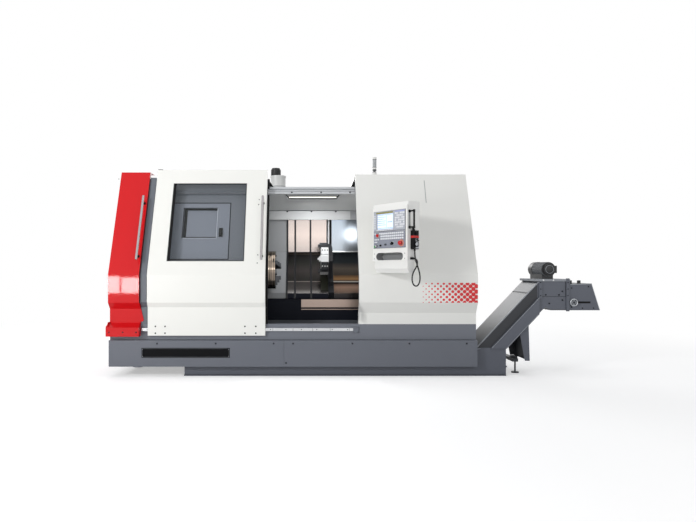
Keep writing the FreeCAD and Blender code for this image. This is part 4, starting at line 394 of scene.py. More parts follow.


# ---------------------------------------------------------------------------------------------
# Top beam over the opening: an aluminium profile with the upper door rail screwed to it. Its left
# end runs behind the grey cover in a grey darker than that cover's paint, the extra darkness being
# painted shade, and two black gussets stand on it.

def zoned_finish(name, direction, zones, roughness, blend="CONSTANT", **settings):
    """A skin whose colour changes at planes across a direction, or between them where the blend is
    LINEAR. Zones are (metres, code) in rising order, and the first one also covers all before it."""
    made = skin_finish(name, zones[0][1], roughness, **settings)
    tree = made.node_tree
    skin = next(node for node in tree.nodes if node.type == "GROUP")
    place = wired(tree, "TexCoord")
    along = wired(tree, "VectorMath", [(place.outputs["Object"], 0)], operation="DOT_PRODUCT", in_1=direction)
    low, high = zones[0][0], zones[-1][0] + 0.001
    part = wired(tree, "MapRange", [(along.outputs["Value"], "Value")], in_1=low, in_2=high)
    ramp = wired(tree, "ValToRGB", [(part, 0)]).color_ramp
    ramp.interpolation = blend
    while len(ramp.elements) < len(zones):
        ramp.elements.new(1.0)
    for element, (start, code) in zip(ramp.elements, zones):
        element.position = (start - low) / (high - low)
        element.color = linear(code)
    ramp_node = next(node for node in tree.nodes if node.type == "VALTORGB")
    tree.links.new(ramp_node.outputs[0], skin.inputs["Colour"])
    return made


def plate_at(outline, near, far):
    """A flat plate between two upright planes, with an outline of (x, z)."""
    outline = np.array(outline)
    count = len(outline)
    points = np.concatenate([np.insert(outline, 1, depth, axis=1) for depth in (near, far)])
    sides = [(i, (i + 1) % count, count + (i + 1) % count, count + i) for i in range(count)]
    return points, [tuple(range(count)), tuple(range(2 * count - 1, count - 1, -1))] + sides


grey_paint = skin_finish("grey_paint", "#62676f", 0.42)
# Left of x = -0.29 the beam is grey, darker than the cover's paint: painted shade.
beam_paint_and_shade = zoned_finish("beam_paint_and_shade", (1, 0, 0), [(-1.6, "#4a4f57"), (-0.29, "#c3c6c9")], 0.32)
gusset_black = skin_finish("gusset_black", "#0d0e10", 0.5, specular=0.15)
dress(beam_paint_and_shade, "top_beam")
for name, corners in (("gusset_skin_left", [(-0.2905, 2.0785), (-0.225, 2.0785), (-0.2905, 2.181)]),
                      ("gusset_skin_right", [(0.6985, 2.0785), (0.655, 2.0785), (0.6985, 2.175)])):
    add_piece(name, plate_at(corners, 0.5285, 0.535), gusset_black)
screw_heads("beam_screws", [(x, 0.47, 2.0165) for x in (-0.019, 0.315, 0.643)], 0.01)
add_piece("beam_groove", [block((-0.288, 0.4695, 2.0225), (0.698, 0.472, 2.0255)),
                          block((-0.288, 0.4715, 2.0525), (0.698, 0.474, 2.0545))], dark_screw)


# ---------------------------------------------------------------------------------------------
# Spindle, chuck and drive: turned and ground steel. The chuck's face has grooves and mounting
# screws, its jaws are blackened, and a black motor drives it through a ribbed rubber belt.

chuck_steel = steel_finish("chuck_steel", "#8d8074", 0.1, (420, 9, 9), 0.1)
jaw_steel = steel_finish("jaw_steel", "#4b4d50", 0.34, (60, 60, 60), 0.2)
motor_black = skin_finish("motor_black", "#17181a", 0.35, 260, 0.3)
belt_rubber = skin_finish("belt_rubber", "#15161a", 0.75, 700, 0.4)
dress(chuck_steel, "chuck_body")
dress(jaw_steel, "jaw_1", "jaw_2", "jaw_3")
dress(motor_black, "spindle_motor")
dress(belt_rubber, "drive_belt")
spindle_axis = np.array([0, 0.45, 1.132])
chuck_face = -0.2


def flat_ring(inner, outer, low, high, centre, axis, steps):
    """A ring with a rectangular section, between two radii and two heights."""
    section = [(inner, low), (outer, low), (outer, high), (inner, high), (inner, low)]
    return turned(section, centre, axis, steps)


def hoop(start, width, inner, outer, slope, centre, axis, steps):
    """A raised band round an axis, that slopes from the inner to the outer radius at both sides."""
    return turned([(inner, start), (outer, start + slope), (outer, start + width - slope),
                   (inner, start + width)], centre, axis, steps)


screw_heads("chuck_screws", [spindle_axis + (chuck_face, -0.165 * math.sin(angle), 0.165 * math.cos(angle))
                             for angle in np.radians([-12, 12, 108, 132, 228, 252])], 0.013, "spindle",
            axis=(1, 0, 0))
add_piece("chuck_face_rings", [flat_ring(r, r + 0.003, -0.0002, 0.0006, spindle_axis + (chuck_face, 0, 0),
                                         (1, 0, 0), 64) for r in (0.0468, 0.197)], dark_screw, "spindle",
          smooth=True)
ground_band = steel_finish("ground_band", "#b9aa9a", 0.08, (300, 9, 9), 0.1)
add_piece("chuck_ground_bands", [hoop(x, width, 0.2142, 0.2147, 0.0015, spindle_axis, (1, 0, 0), 96)
                                 for x, width in ((-0.283, 0.016), (-0.236, 0.009), (-0.212, 0.006))],
          ground_band, "spindle", smooth=True)
add_piece("spindle_motor_ribs", [hoop(x, 0.012, 0.1655, 0.169, 0.003, (-1.55, 1.33, 1.5), (1, 0, 0), 64)
                                 for x in np.linspace(0.02, 0.6, 25)], motor_black, smooth=True)


# ---------------------------------------------------------------------------------------------
# Liner of the work area: ceiling, left wall and fixed covers in painted sheet, riveted along the
# ceiling's lower fold; above that fold the ceiling is painted much lighter, as painted light. A long
# lamp with a glowing lens hangs under the ceiling and lights it.

# Above z = 1.872 the liner is nearly white: painted light on the ceiling.
liner_paint_and_light = zoned_finish("liner_paint_and_light", (0, 0, 1), [(0.5, "#8f9193"), (1.872, "#dcdedd")], 0.34)
lamp_white = skin_finish("lamp_white", "#a4a6a6", 0.35)
dress(liner_paint_and_light, "work_liner")
dress(lamp_white, "work_lamp")


def glowing(finish, code, strength):
    """Lets a finish give off light of a colour."""
    shader = finish.node_tree.nodes["Principled BSDF"]
    shader.inputs["Emission Color"].default_value = linear(code)
    shader.inputs["Emission Strength"].default_value = strength
    return finish


lamp_glow = glowing(skin_finish("lamp_glow", "#f4f4ee", 0.3), "#fffaf0", 0.9)
add_piece("lamp_lens", block((-0.052, 0.5625, 1.966), (0.494, 0.575, 1.978)), lamp_glow, edge=0.002)
# The lamp's black frame: a top bar and slanted ends, and a lower bar under the lens that is painted shade.
lamp_ends = [plate_at([(x + s * 0.036, 1.999), (x + s * 0.022, 1.999), (x - s * 0.012, 1.957),
                       (x + s * 0.002, 1.957)], 0.5628, 0.57) for x, s in ((-0.056, -1), (0.498, 1))]
add_piece("lamp_frame_and_shade_line", [block((-0.062, 0.563, 1.979), (0.504, 0.57, 1.987)),
                         block((-0.052, 0.563, 1.957), (0.494, 0.57, 1.965)), *lamp_ends], gusset_black)
work_light = softbox("work_light", (0.221, front + 0.594, 1.944), (0.221, front + 0.594, 1.0),
                     (0.53, 0.04), 8)
work_light.visible_glossy = False
screw_heads("ceiling_rivets", [(x, 1.08, 1.86) for x in (-0.084, 0.217, 0.52)], 0.011)
add_piece("ceiling_seam", block((-0.42, 1.0795, 1.8655), (0.7, 1.0825, 1.8715)), dark_screw)
add_piece("liner_upper_strip", block((-0.42, 1.079, 1.757), (0.7, 1.0825, 1.8655)),
          skin_finish("upper_strip", "#b9bbbc", 0.22))

# The pit under the covers: a dark chip guard at the left and a stainless splash strip at the right,
# with navy sheet below the strip; the navy is partly the guard's own colour and partly painted shade
# of the deep pit.
navy_guard_and_pit_shade = skin_finish("navy_guard_and_pit_shade", "#0b0f1a", 0.5, specular=0.12)
strip_steel = steel_finish("strip_steel", "#a08f85", 0.3, (3, 200, 200), 0.1)
pit = 0.578
add_piece("chip_guard_and_pit_shade", [block((-0.42, pit, 0.555), (0.088, pit + 0.003, 0.792)),
                         block((0.088, pit, 0.555), (0.76, pit + 0.003, 0.7))], navy_guard_and_pit_shade, edge=0.001)
add_piece("splash_strip", [block((0.088, pit - 0.001, 0.7), (0.76, pit + 0.003, 0.792)),
                           block((0.088, pit - 0.005, 0.672), (0.76, pit + 0.001, 0.682))], strip_steel,
          edge=0.001)


# ---------------------------------------------------------------------------------------------
# Telescopic way covers: thin stainless leaves that slide over each other, polished along the
# spindle axis, with bands of painted reflection and painted shade that change with height. Each
# outer leaf carries a black wiper lip along its edge, widened by a band of painted shade.

# Colour bands by height on the covers: painted reflections and painted shade.
left_cover_reflection_bands = [(0.8, "#14151b"), (0.861, "#1b1c21"), (0.866, "#cdc7c5"), (0.88, "#c0bab7"), (0.905, "#8a8582"),
              (0.989, "#746f6d"), (0.991, "#d9ccc4"), (0.999, "#d9ccc4"), (1.001, "#5f5c5a"),
              (1.12, "#726c69"), (1.23, "#575553"), (1.318, "#4e4c4b"), (1.328, "#8b7b70"), (1.34, "#544f4d"),
              (1.352, "#3f3d3d"), (1.356, "#938a86"), (1.56, "#a0958f"), (1.79, "#8c8480")]
right_cover_reflection_bands = [(0.8, "#242325"), (0.861, "#3b3837"), (0.866, "#8f796c"), (0.93, "#c9a48f"), (0.963, "#8a6f61"),
              (0.972, "#353231"), (0.986, "#3b3735"), (0.989, "#f0e8e0"), (0.999, "#f0e8e0"),
              (1.002, "#4f453e"), (1.022, "#c99a6c"), (1.062, "#8a6d54"), (1.075, "#5f5852"),
              (1.15, "#83786f"), (1.205, "#5d5a59"), (1.225, "#474c51"), (1.345, "#3f444a"),
              (1.352, "#3a3f44"), (1.354, "#e6e8ea"), (1.366, "#e6e8ea"), (1.369, "#868c92"),
              (1.79, "#7b838c")]
polish = {"blend": "LINEAR", "grain": 60, "depth": 0.02, "metal": 1.0}
cover_steel_reflections = zoned_finish("cover_steel_reflections", (0, 0, 1), left_cover_reflection_bands, 0.22, **polish)
right_steel_reflections = zoned_finish("right_steel_reflections", (0, 0, 1), right_cover_reflection_bands, 0.2, **polish)
dress(cover_steel_reflections, "way_cover_left_1", "way_cover_left_2", "way_cover_left_3")
dress(right_steel_reflections, "way_cover_right")
# Each wiper strip is a real black lip plus a wider band of painted shade beside it.
wiper_black_and_shade = skin_finish("wiper_black_and_shade", "#1c1c1f", 0.5)
cover_line = [(1.0972, 1.79), (1.0972, 1.3549), (0.6062, 0.864), (0.6062, 0.8)]
for name, body, x, shift in (("wiper_1", "way_cover_left_1", -0.092, 0.0145),
                             ("wiper_2", "way_cover_left_2", 0.005, 0.0085),
                             ("wiper_3", "saddle", 0.195, 0.0025)):
    lip = [(np.array([(x + dx, depth + shift + dy, height) for dx in (-0.0012, 0.021)
                      for depth, height in ends for dy in (-0.0028, 0.0005)]), box_faces)
           for ends in zip(cover_line, cover_line[1:])]
    add_piece(name, lip, wiper_black_and_shade, body)


# ---------------------------------------------------------------------------------------------
# Cross slide, turret and holders: the slide has an olive bellows below the turret, and pipes run
# up behind it in the slot between the covers. The turret is ground steel with bolted clamps.

slide_paint = skin_finish("slide_paint", "#24262a", 0.4)
holder_black = skin_finish("holder_black", "#2a2b2e", 0.32, 300, 0.2)
# The holders are banded by height: white where the front facets catch the light, as painted light, near black
# below as painted shade, and grey above.
holder_light_and_shade = zoned_finish("holder_light_and_shade", (0, 0, 1), [(1.0, "#1b1c1f"), (1.222, "#e6e7e7"),
                                                      (1.305, "#45474a")], 0.35)
turret_steel = steel_finish("turret_steel", "#dfe1e2", 0.3, (200, 30, 30), 0.1)
clamp_white = skin_finish("clamp_white", "#e9eaea", 0.25)
bellows_olive = skin_finish("bellows_olive", "#2c2e24", 0.55)
dress(slide_paint, "cross_slide", "saddle")
dress(turret_steel, "turret_disc")
dress(holder_light_and_shade, "tool_holders")
turret_axis = np.array([0, 0.58, 1.262])


def about_turret(shape, degrees):
    """Turns a shape drawn above the turret's axis by an angle about that axis, towards the front."""
    points, faces = shape
    x, y, z = np.asarray(points, float).T
    angle = math.radians(degrees)
    return np.stack([x, y * math.cos(angle) - z * math.sin(angle),
                     y * math.sin(angle) + z * math.cos(angle)], -1) + turret_axis, faces


wedge = block((0.315, -0.042, 0.146), (0.396, 0.042, 0.18))
wedge_screws = [turned([(0, 0), (0.007, 0), (0.007, 0.004), (0, 0.005)], (x, 0.006, 0.18), (0, 0, 1), 12)
                for x in (0.328, 0.3555, 0.383)]
cap = block((0.3015, -0.0305, 0.188), (0.3955, 0.0305, 0.1935))
cap_marks = [block((x, y, 0.193), (x + 0.01, y + 0.004, 0.1938))
             for x, y in ((0.335, -0.012), (0.35, -0.012), (0.34, 0.01))]
fins = [block((0.3015, y, 0.188), (0.3955, y + 0.005, 0.1935)) for y in np.arange(-0.029, 0.026, 0.012)]
clamps = {"white": [], "black": [], "steel": []}
for place in range(12):
    if place % 2 == 0:
        body_kind, screw_kind = ("white", "black") if place in (2, 8) else ("black", "white")
        parts = ((body_kind, [wedge]), (screw_kind, wedge_screws))
    elif place in (3, 9):
        parts = (("white", [cap]), ("steel", cap_marks))
    else:
        parts = (("black" if place in (1, 7) else "steel", fins),)
    for kind, shapes in parts:
        clamps[kind] += [about_turret(shape, place * 30) for shape in shapes]
for kind, finish in (("white", clamp_white), ("black", holder_black), ("steel", turret_steel)):
    add_piece("turret_clamps_" + kind, clamps[kind], finish, "turret")


def on_slope(x, along, above):
    """A point over the way covers: along their 45 degree slope from the foot of the spindle
    axis, and above their plane."""
    half = math.sqrt(0.5)
    return (x, 0.6621 + (along - above) * half, 0.9199 + (along + above) * half)


fold_profile = ((0, 0), (0.016, 0), (0.012, 0.016), (0.004, 0.016))
fold_faces = [(0, 1, 2, 3), (7, 6, 5, 4), (0, 4, 5, 1), (1, 5, 6, 2), (2, 6, 7, 3), (3, 7, 4, 0)]
folds = [(np.array([on_slope(x, along + step, high) for x in (0.318, 0.4) for step, high in fold_profile])
          + (0, -0.006, 0.006), fold_faces) for along in np.arange(-0.05, 0.205, 0.017)]
add_piece("slide_bellows", folds, bellows_olive, "cross_slide")
slot_back = 1.147
pipe_depth = slot_back - 0.006
add_piece("slot_plate", block((0.404, slot_back, 1.3), (0.469, slot_back + 0.003, 1.8)), slide_paint,
          "saddle")
add_piece("slot_pipe", rod((0.414, pipe_depth, 1.31), (0.414, pipe_depth, 1.79), 0.008), turned_steel,
          "saddle", smooth=True)
add_piece("slot_strip", block((0.427, slot_back - 0.004, 1.31), (0.441, slot_back + 0.001, 1.79)),
          clamp_white, "saddle")
add_piece("slot_hose", rod((0.456, pipe_depth, 1.31), (0.456, pipe_depth, 1.79), 0.009), belt_rubber,
          "saddle", smooth=True)
tail_axis = spindle_axis + (1.13, 0, 0)
add_piece("tailstock_ring", turned([(0.119, 0.001), (0.119, -0.006), (0.07, -0.006), (0.07, 0.001)],
                                   tail_axis, (1, 0, 0), 64), turned_steel, "tailstock", smooth=True)
screw_heads("tailstock_screws", [tail_axis + (-0.006, 0.095 * math.sin(a), 0.095 * math.cos(a))
                                 for a in np.radians(np.arange(30, 390, 60))], 0.009, "tailstock",
            axis=(-1, 0, 0))


# ---------------------------------------------------------------------------------------------
# Fixed grey cover before the headstock: folded sheet with a hatch. A dark seal lies round the hatch,
# its recess has painted shadow at the left and top and a painted highlight at the right and bottom,
# and a black strip of painted shade stands on the cover's edge that faces the sliding door.

lean = math.radians(21.6)
fold = 1.084
hatch_paint = skin_finish("hatch_paint", "#737984", 0.42)
black_plastic = skin_finish("black_plastic", "#0a0b0d", 0.45, 900, 0.25, specular=0.15)
painted_highlight_edge = skin_finish("painted_highlight_edge", "#b4b9c2", 0.3)
dress(grey_paint, "headstock_cover")
dress(hatch_paint, "hatch")
dress(black_plastic, "hatch_latch")


def leant(shape, back=0.0):
    """Moves a shape drawn at an upright plane onto the leaning covers: y grows by tan(lean) with
    the height over the fold."""
    points, faces = shape
    points = np.array(points, float)
    points[:, 1] += back + np.maximum(points[:, 2] - fold, 0) * math.tan(lean)
    return points, faces


def face_spot(x, z, back=0.0):
    """A point on the leaning covers, or that far behind them."""
    return (x, back + max(z - fold, 0) * math.tan(lean), z)


outward = (0, -math.cos(lean), math.sin(lean))
cover_gap = 0.13
seal_strips = frame_strips(-1.403, -0.704, 1.245, 1.8955, -0.0012, 0.001, (0.0095, 0.0105, 0.0095, 0.01))
add_piece("hatch_seal", [leant(strip, cover_gap) for strip in seal_strips], black_plastic)
dark_bands = [block((-1.229, 0.0285, 1.487), (-1.195, 0.031, 1.827)),
              block((-1.229, 0.0285, 1.806), (-0.85, 0.031, 1.827)),
              block((-1.229, 0.0285, 1.487), (-0.85, 0.031, 1.5)),
              block((-1.236, -0.001, 1.482), (-1.2285, 0.001, 1.832)),
              block((-1.236, -0.001, 1.8265), (-0.85, 0.001, 1.834))]
add_piece("recess_shadow_gap", [leant(band, cover_gap) for band in dark_bands], black_plastic)
# Painted highlight along the recess's right side and lower edge.
add_piece("recess_edge_highlight", [leant(block((-0.8545, -0.0012, 1.487), (-0.8495, 0.001, 1.827)), cover_gap),
                                 leant(block((-1.229, -0.0012, 1.483), (-0.8495, 0.001, 1.4875)), cover_gap)],
          painted_highlight_edge)
add_piece("latch_grip", leant(block((-0.8165, -0.026, 1.52), (-0.8035, -0.0118, 1.582)), cover_gap),
          black_plastic, "hatch_latch", edge=0.002)
add_piece("hatch_hinges", [leant(block((-1.396, -0.004, z), (-1.362, 0.0005, z + 0.07)), cover_gap)
                           for z in (1.33, 1.56, 1.76)], hatch_paint, edge=0.001)
# A black strip on the cover's right edge, between the cover and the sliding door: painted shade of the
# cover's flange.
add_piece("cover_edge_shade", [leant(block((-0.29, 0.06, low), (-0.272, 0.1295, high)))
                       for low, high in ((0.56, fold), (fold, 1.98), (2.055, 2.17))], black_plastic)
screw_heads("cover_screws", [face_spot(x, z, cover_gap) for x in (-1.5, -0.5)
                             for z in (1.15, 1.5, 1.85, 2.12)], 0.007, axis=outward)


# ---------------------------------------------------------------------------------------------
# Red end door: one folded shell in high gloss enamel with a polished bar handle on black collars,
# a kick bar held by screws and a small flare plate beside its lower bevel.

red_paint = skin_finish("red_paint", "#d00a13", 0.5, 420, 0.05, 0.03, coat=0.4, specular=0.15)
chrome = steel_finish("chrome", "#b3b0b2", 0.2, (30, 30, 2), 0.02)
dress(red_paint, "end_door_panel")
dress(chrome, "end_door_handle", "door_handle")
collar = [(0.008, 0.0), (0.0165, 0.0), (0.0165, 0.005), (0.013, 0.008), (0.008, 0.008)]
for name, body, x in (("end_handle_collars", "end_door", -1.654), ("door_handle_collars", "door", -0.336)):
    add_piece(name, [turned(collar, face_spot(x, z), outward, 24) for z in (1.2797, 1.8713)], black_plastic,
              body, smooth=True)
flare = [(-1.6225, 0.739), (-1.59, 0.602), (-1.6, 0.585), (-1.6225, 0.585)]
add_piece("end_door_flare", plate_at(flare, 0.062, 0.065), red_paint, "end_door")
screw_heads("kick_bar_screws", [(x, -0.015, 0.478) for x in (-1.935, -1.79, -1.65)], 0.008, "end_door")
screw_heads("end_door_side_screws", [(-1.95, depth, z) for depth in (0.36, 0.6)
                                     for z in (0.66, 1.2, 1.7, 2.15)], 0.007, "end_door", axis=(-1, 0, 0))
add_piece("end_door_edge_line", [leant(block((-1.6235, -0.0006, 0.792), (-1.6215, 0.03, fold))),
                                 leant(block((-1.6235, -0.0006, fold), (-1.6215, 0.03, 2.236)))],
          skin_finish("shade_red", "#5c0408", 0.4), "end_door")


# ---------------------------------------------------------------------------------------------
# Sliding door: white enamelled tray with a safety glass pane in a black gasket, small bolts of
# its guide shoes and of its handle, and a dark stop clip on its top edge.

white_paint = skin_finish("white_paint", "#f3f3ee", 0.38, 420, 0.1, 0.02, coat=0.15)
dress(white_paint, "door_panel")
dress(dark_screw, "door_carriages")
glass = skin_finish("safety_glass", "#dfe8e8", 0.03, 40, 0.01, specular=0.0)
glass.node_tree.nodes["Principled BSDF"].inputs["Alpha"].default_value = 0.02
dress(glass, "door_window")
# The gasket is drawn wider at the left and top, where its black also stands for painted shade in the window's
# reveal.
gasket = frame_strips(-1.344, -0.525, 1.23, 2.106, -0.0032, 0.0, (0.03, 0.006, 0.005, 0.011))
add_piece("window_gasket", [leant(strip, 0.0038) for strip in gasket], black_plastic, "door")
window_rim = frame_strips(-1.347, -0.522, 1.227, 2.109, -0.0012, 0.002, [0.003] * 4)
add_piece("window_rim", [leant(strip) for strip in window_rim], skin_finish("rim_grey", "#9a9c9c", 0.35),
          "door")
screw_heads("shoe_bolts", [(x, 0.035, z) for x in (-1.459, -1.357, -0.51, -0.3945) for z in (0.464, 0.536)],
            0.008, "door")
screw_heads("handle_bolts", [face_spot(x, z) for x, z in ((-0.379, 1.916), (-0.3835, 1.857), (-0.377, 1.295),
                                                          (-0.381, 1.208))], 0.006, "door", axis=outward)
add_piece("door_top_clip", leant(block((-1.5395, 0.002, 2.268), (-1.486, 0.02, 2.277))), black_plastic,
          "door", edge=0.001)


# ---------------------------------------------------------------------------------------------
# White right cover with a field of red dots that grow to the right, printed on its upright band,
# and a slim grey strip. The rear enclosure, its roof and the cabinet door wear the same enamel.

cover_white = skin_finish("cover_white", "#ecece8", 0.4, 420, 0.1, 0.02, coat=0.12)
dress(cover_white, "right_cover", "rear_enclosure", "cabinet_door", "pendant_bracket")
dot_red = skin_finish("dot_red", "#d8262c", 0.4, 420, 0.05)
dots_left, dots_right = 1.372, 1.93
dots = []
for row in range(8):
    for column in range(10):
        x = dots_left + (0.0306 if row % 2 == 0 else 0) + 0.0623 * column
        if x < 1.945:
            reach = min(max((x - dots_left) / (dots_right - dots_left), 0), 1)
            radius = 0.005 + 0.0175 * reach ** 0.8
            dots.append(rod((x, 0.001, 0.991 - 0.0284 * row), (x, -0.0003, 0.991 - 0.0284 * row), radius, 20))
points, faces = joined(*dots)
points[:, 2] = np.clip(points[:, 2], 0.789, 0.999)
points[:, 0] = np.minimum(points[:, 0], 1.9485)
add_piece("red_dots", (points, faces), dot_red)
strip_grey = skin_finish("strip_grey", "#a7a9aa", 0.3)
add_piece("cover_strip", leant(block((1.4705, -0.004, 1.878), (1.4775, 0.0005, 2.143))), strip_grey,
          edge=0.001)
add_piece("cover_edge_line", [leant(block((0.6975, 0.004, 0.6), (0.699, 0.044, fold))),
                              leant(block((0.6975, 0.004, fold), (0.699, 0.044, 2.1)))], strip_grey)
screw_heads("right_wall_screws", [(1.95, depth, z) for depth in (0.3, 0.95) for z in (0.62, 1.05, 1.5, 1.95)
                                  if depth > 0.3 + (z - fold) * 0.3], 0.007, axis=(1, 0, 0))

# Rear and roof: panel seams, two louvre fields, the cabinet door's lock handle, the main switch.
signal_red = skin_finish("signal_red", "#c9150f", 0.25, 900, 0.05, coat=0.5)
dress(signal_red, "main_switch")
back = 1.85
louvres = [block((x, back - 0.001, z), (x + 0.42, back + 0.006, z + 0.007)) for x in (-1.62, -0.3)
           for z in np.arange(0.8, 1.3, 0.028)]
add_piece("rear_louvres", louvres, grey_paint, edge=0.002)
rear_seams = [block((x, back - 0.001, 0.565), (x + 0.003, back + 0.0006, 2.07)) for x in (-0.98, 0.32)]
rear_seams += [block((-1.94, back - 0.001, z), (0.32, back + 0.0006, z + 0.003)) for z in (0.7, 1.42)]
add_piece("rear_seams", rear_seams, grey_paint)
screw_heads("rear_screws", [(x, back, z) for x in (-1.9, -1.02, -0.94, 0.28, 0.36)
                            for z in (0.64, 1.1, 1.5, 2.03)], 0.008, axis=(0, 1, 0))
add_piece("cabinet_lock", [block((0.712, back + 0.0195, 1.2), (0.742, back + 0.029, 1.33)),
                           block((0.72, back + 0.0285, 1.225), (0.734, back + 0.0305, 1.3))], black_plastic,
          "cabinet_door", edge=0.002)
add_piece("cabinet_vent", [block((0.98, back + 0.0195, z), (1.22, back + 0.024, z + 0.006))
                           for z in np.arange(0.78, 0.92, 0.018)], grey_paint, "cabinet_door", edge=0.001)
add_piece("switch_plate", flat_ring(0.0335, 0.045, 0.0, 0.0005, (0.79, back + 0.0208, 1.6), (0, 1, 0), 40),
          skin_finish("switch_yellow", "#d9b417", 0.35), "cabinet_door", smooth=True)
roof = 2.078
add_piece("roof_seams", [block((x, 1.01, roof - 0.001), (x + 0.003, 1.849, roof + 0.0006))
                         for x in (-0.9, 0.42)], grey_paint)
screw_heads("roof_screws", [(x, u, roof) for x in (-1.85, -0.94, -0.86, 0.38, 0.46, 1.85)
                            for u in (1.08, 1.78)], 0.008, axis=(0, 0, 1))


# ---------------------------------------------------------------------------------------------
# Mist collector and signal tower on the roof: a white drum with a ribbed black motor, and a slim
# mast of grey lenses between pale rings.

collector_paint = zoned_finish("collector_paint", (0, 0, 1), [(2.0, "#d9dad9"), (2.3495, "#131416")], 0.4)
tower_zones = [(2.2, "#dededb"), (2.252, "#3d4043"), (2.281, "#dededb"), (2.306, "#a6a9ab"),
               (2.395, "#e4e4e1")]
tower_paint = zoned_finish("tower_paint", (0, 0, 1), tower_zones, 0.35)
dress(collector_paint, "mist_collector")
dress(tower_paint, "signal_tower")
drum = np.array([-0.21, 1.4, 0])
fan = np.array([-0.24, 1.4, 0])
add_piece("collector_ribs", [hoop(z, 0.006, 0.0605, 0.066, 0.001, fan, (0, 0, 1), 48)
                             for z in np.arange(2.362, 2.432, 0.012)], motor_black, smooth=True)
add_piece("collector_hoops", [hoop(z, 0.012, 0.0962, 0.0985, 0.002, drum, (0, 0, 1), 64)
                              for z in (2.086, 2.205)], strip_grey, smooth=True)
mast = np.array([0.928, 0.52, 0])
add_piece("tower_rings", [hoop(z, 0.004, 0.0222, 0.0235, 0.001, mast, (0, 0, 1), 32)
                          for z in (2.252, 2.279, 2.305, 2.3955)], black_plastic, smooth=True)


# ---------------------------------------------------------------------------------------------
# Chip conveyor: painted casing in three bolted lengths with a lighter motor plate, a hinged steel
# belt, a black finned gear motor and a discharge chute whose slots tension the drive shaft.

conveyor_paint = zoned_finish("conveyor_paint", (0, 1, 0),
                              [(front, "#5a5e68"), (front + 0.1035, "#44474c")], 0.4)
shade_paint = skin_finish("shade_paint", "#2c2e33", 0.5)
light_edge = skin_finish("light_edge", "#8e9298", 0.36)
belt_steel = steel_finish("belt_steel", "#8f9194", 0.38, (40, 40, 40), 0.4)
dress(conveyor_paint, "conveyor_frame", "discharge_chute")
dress(belt_steel, "conveyor_belt")
dress(motor_black, "conveyor_motor")
side_face = 0.1
rise = math.tan(math.radians(46.7))


def incline_x(inside, z):
    """The x at height z of a line parallel to the lift, that far inside its lower face."""
    return 2.281 - inside / math.sin(math.atan(rise)) + (z - 0.291) / rise


def lift_strip(one, other, low, high, near, far):
    """A plate between two lines parallel to the lift and between two heights."""
    return plate_at([(incline_x(one, low), low), (incline_x(one, high), high),
                     (incline_x(other, high), high), (incline_x(other, low), low)], near, far)


shade_line = [(incline_x(inside, z), z) for inside, z in ((0.126, 0.3), (0.126, 0.83), (0.232, 0.985),
                                                          (0.232, 0.3))]
add_piece("lift_side_shade", plate_at(shade_line, side_face - 0.0012, side_face + 0.001), shade_paint)
add_piece("lift_flange_edge", lift_strip(0.118, 0.124, 0.3, 0.836, 0.0748, 0.077), light_edge)
add_piece("lift_lower_edge", lift_strip(0.004, 0.01, 0.3, 0.655, 0.0748, 0.077), light_edge)
add_piece("lift_cover_edge", lift_strip(0.243, 0.232, 0.3, 1.006, side_face - 0.006, side_face + 0.001),
          light_edge)
motor_plate = [(2.601, 1.0125), (2.965, 1.0125), (2.965, 1.0365), (2.601, 1.0365)]
add_piece("motor_plate_skin", plate_at(motor_plate, 0.0895, 0.541), light_edge, edge=0.001)
add_piece("motor_plate_spots", [turned([(0, 0), (0.009, 0), (0.009, 0.002), (0, 0.002)], (x, 0.0895, 1.0245),
                                       (0, -1, 0), 16) for x in (2.679, 2.785)], clamp_white, smooth=True)
panel_lines = [[(2.664, 0.846), (2.922, 0.846), (2.922, 0.852), (2.664, 0.852)],
               [(2.664, 0.852), (2.669, 0.852), (2.669, 1.008), (2.664, 1.008)],
               [(2.917, 0.852), (2.922, 0.852), (2.922, 1.008), (2.917, 1.008)],
               [(2.7, 0.71), (2.965, 0.71), (2.965, 0.714), (2.7, 0.714)]]
add_piece("head_panel_lines", [plate_at(line, side_face - 0.0008, side_face + 0.0005)
                               for line in panel_lines], shade_paint)
screw_heads("head_bolts", [(x, side_face, z) for x, z in ((2.707, 0.868), (2.849, 0.868), (2.885, 0.905),
                                                          (2.885, 0.812), (2.745, 0.775), (2.94, 0.735))],
            0.01)
screw_heads("post_bolts", [(x, 0.086, z) for x in (2.647, 2.939) for z in (0.86, 0.93, 1.0)], 0.007)
add_piece("lift_cover_seam", lift_strip(0.2445, 0.236, 0.887, 0.894, 0.104, 0.526), shade_paint)
add_piece("trough_foot_line", block((-1.16, 0.0905, 0.0125), (2.278, 0.0995, 0.0155)), shade_paint)
add_piece("trough_rim", plate_at([(1.951, 0.286), (2.006, 0.294), (2.006, 0.288), (1.957, 0.28)],
                                 side_face - 0.004, side_face + 0.001), light_edge)
cleats = [block((x, 0.116, 0.1395), (x + 0.008, 0.514, 0.158)) for x in np.arange(-1.05, 1.95, 0.16)]
add_piece("belt_cleats", cleats, belt_steel)
add_piece("chute_rim", [plate_at([(2.969, 0.984), (3.195, 0.9895), (3.195, 0.9795), (2.969, 0.974)],
                                 side_face - 0.003, side_face + 0.001),
                        plate_at([(3.1905, 0.989), (3.1975, 0.989), (3.286, 0.704), (3.279, 0.704)],
                                 side_face - 0.003, side_face + 0.001)], light_edge)
add_piece("chute_slot_shade", [block((3.041, 0.0992, 0.776), (3.186, 0.108, 0.797)),
                               block((2.975, 0.1045, 0.745), (3.036, 0.108, 0.827))], gusset_black)
add_piece("chute_handles", [block((x - 0.014, 0.16, 0.975), (x + 0.014, 0.19, 1.022))
                            for x in (3.003, 3.098)], motor_black, edge=0.003)
screw_heads("chute_bolts", [(x, side_face, z) for x, z in ((2.985, 0.94), (2.985, 0.735), (3.165, 0.955),
                                                           (3.22, 0.725), (3.1, 0.725))], 0.008)
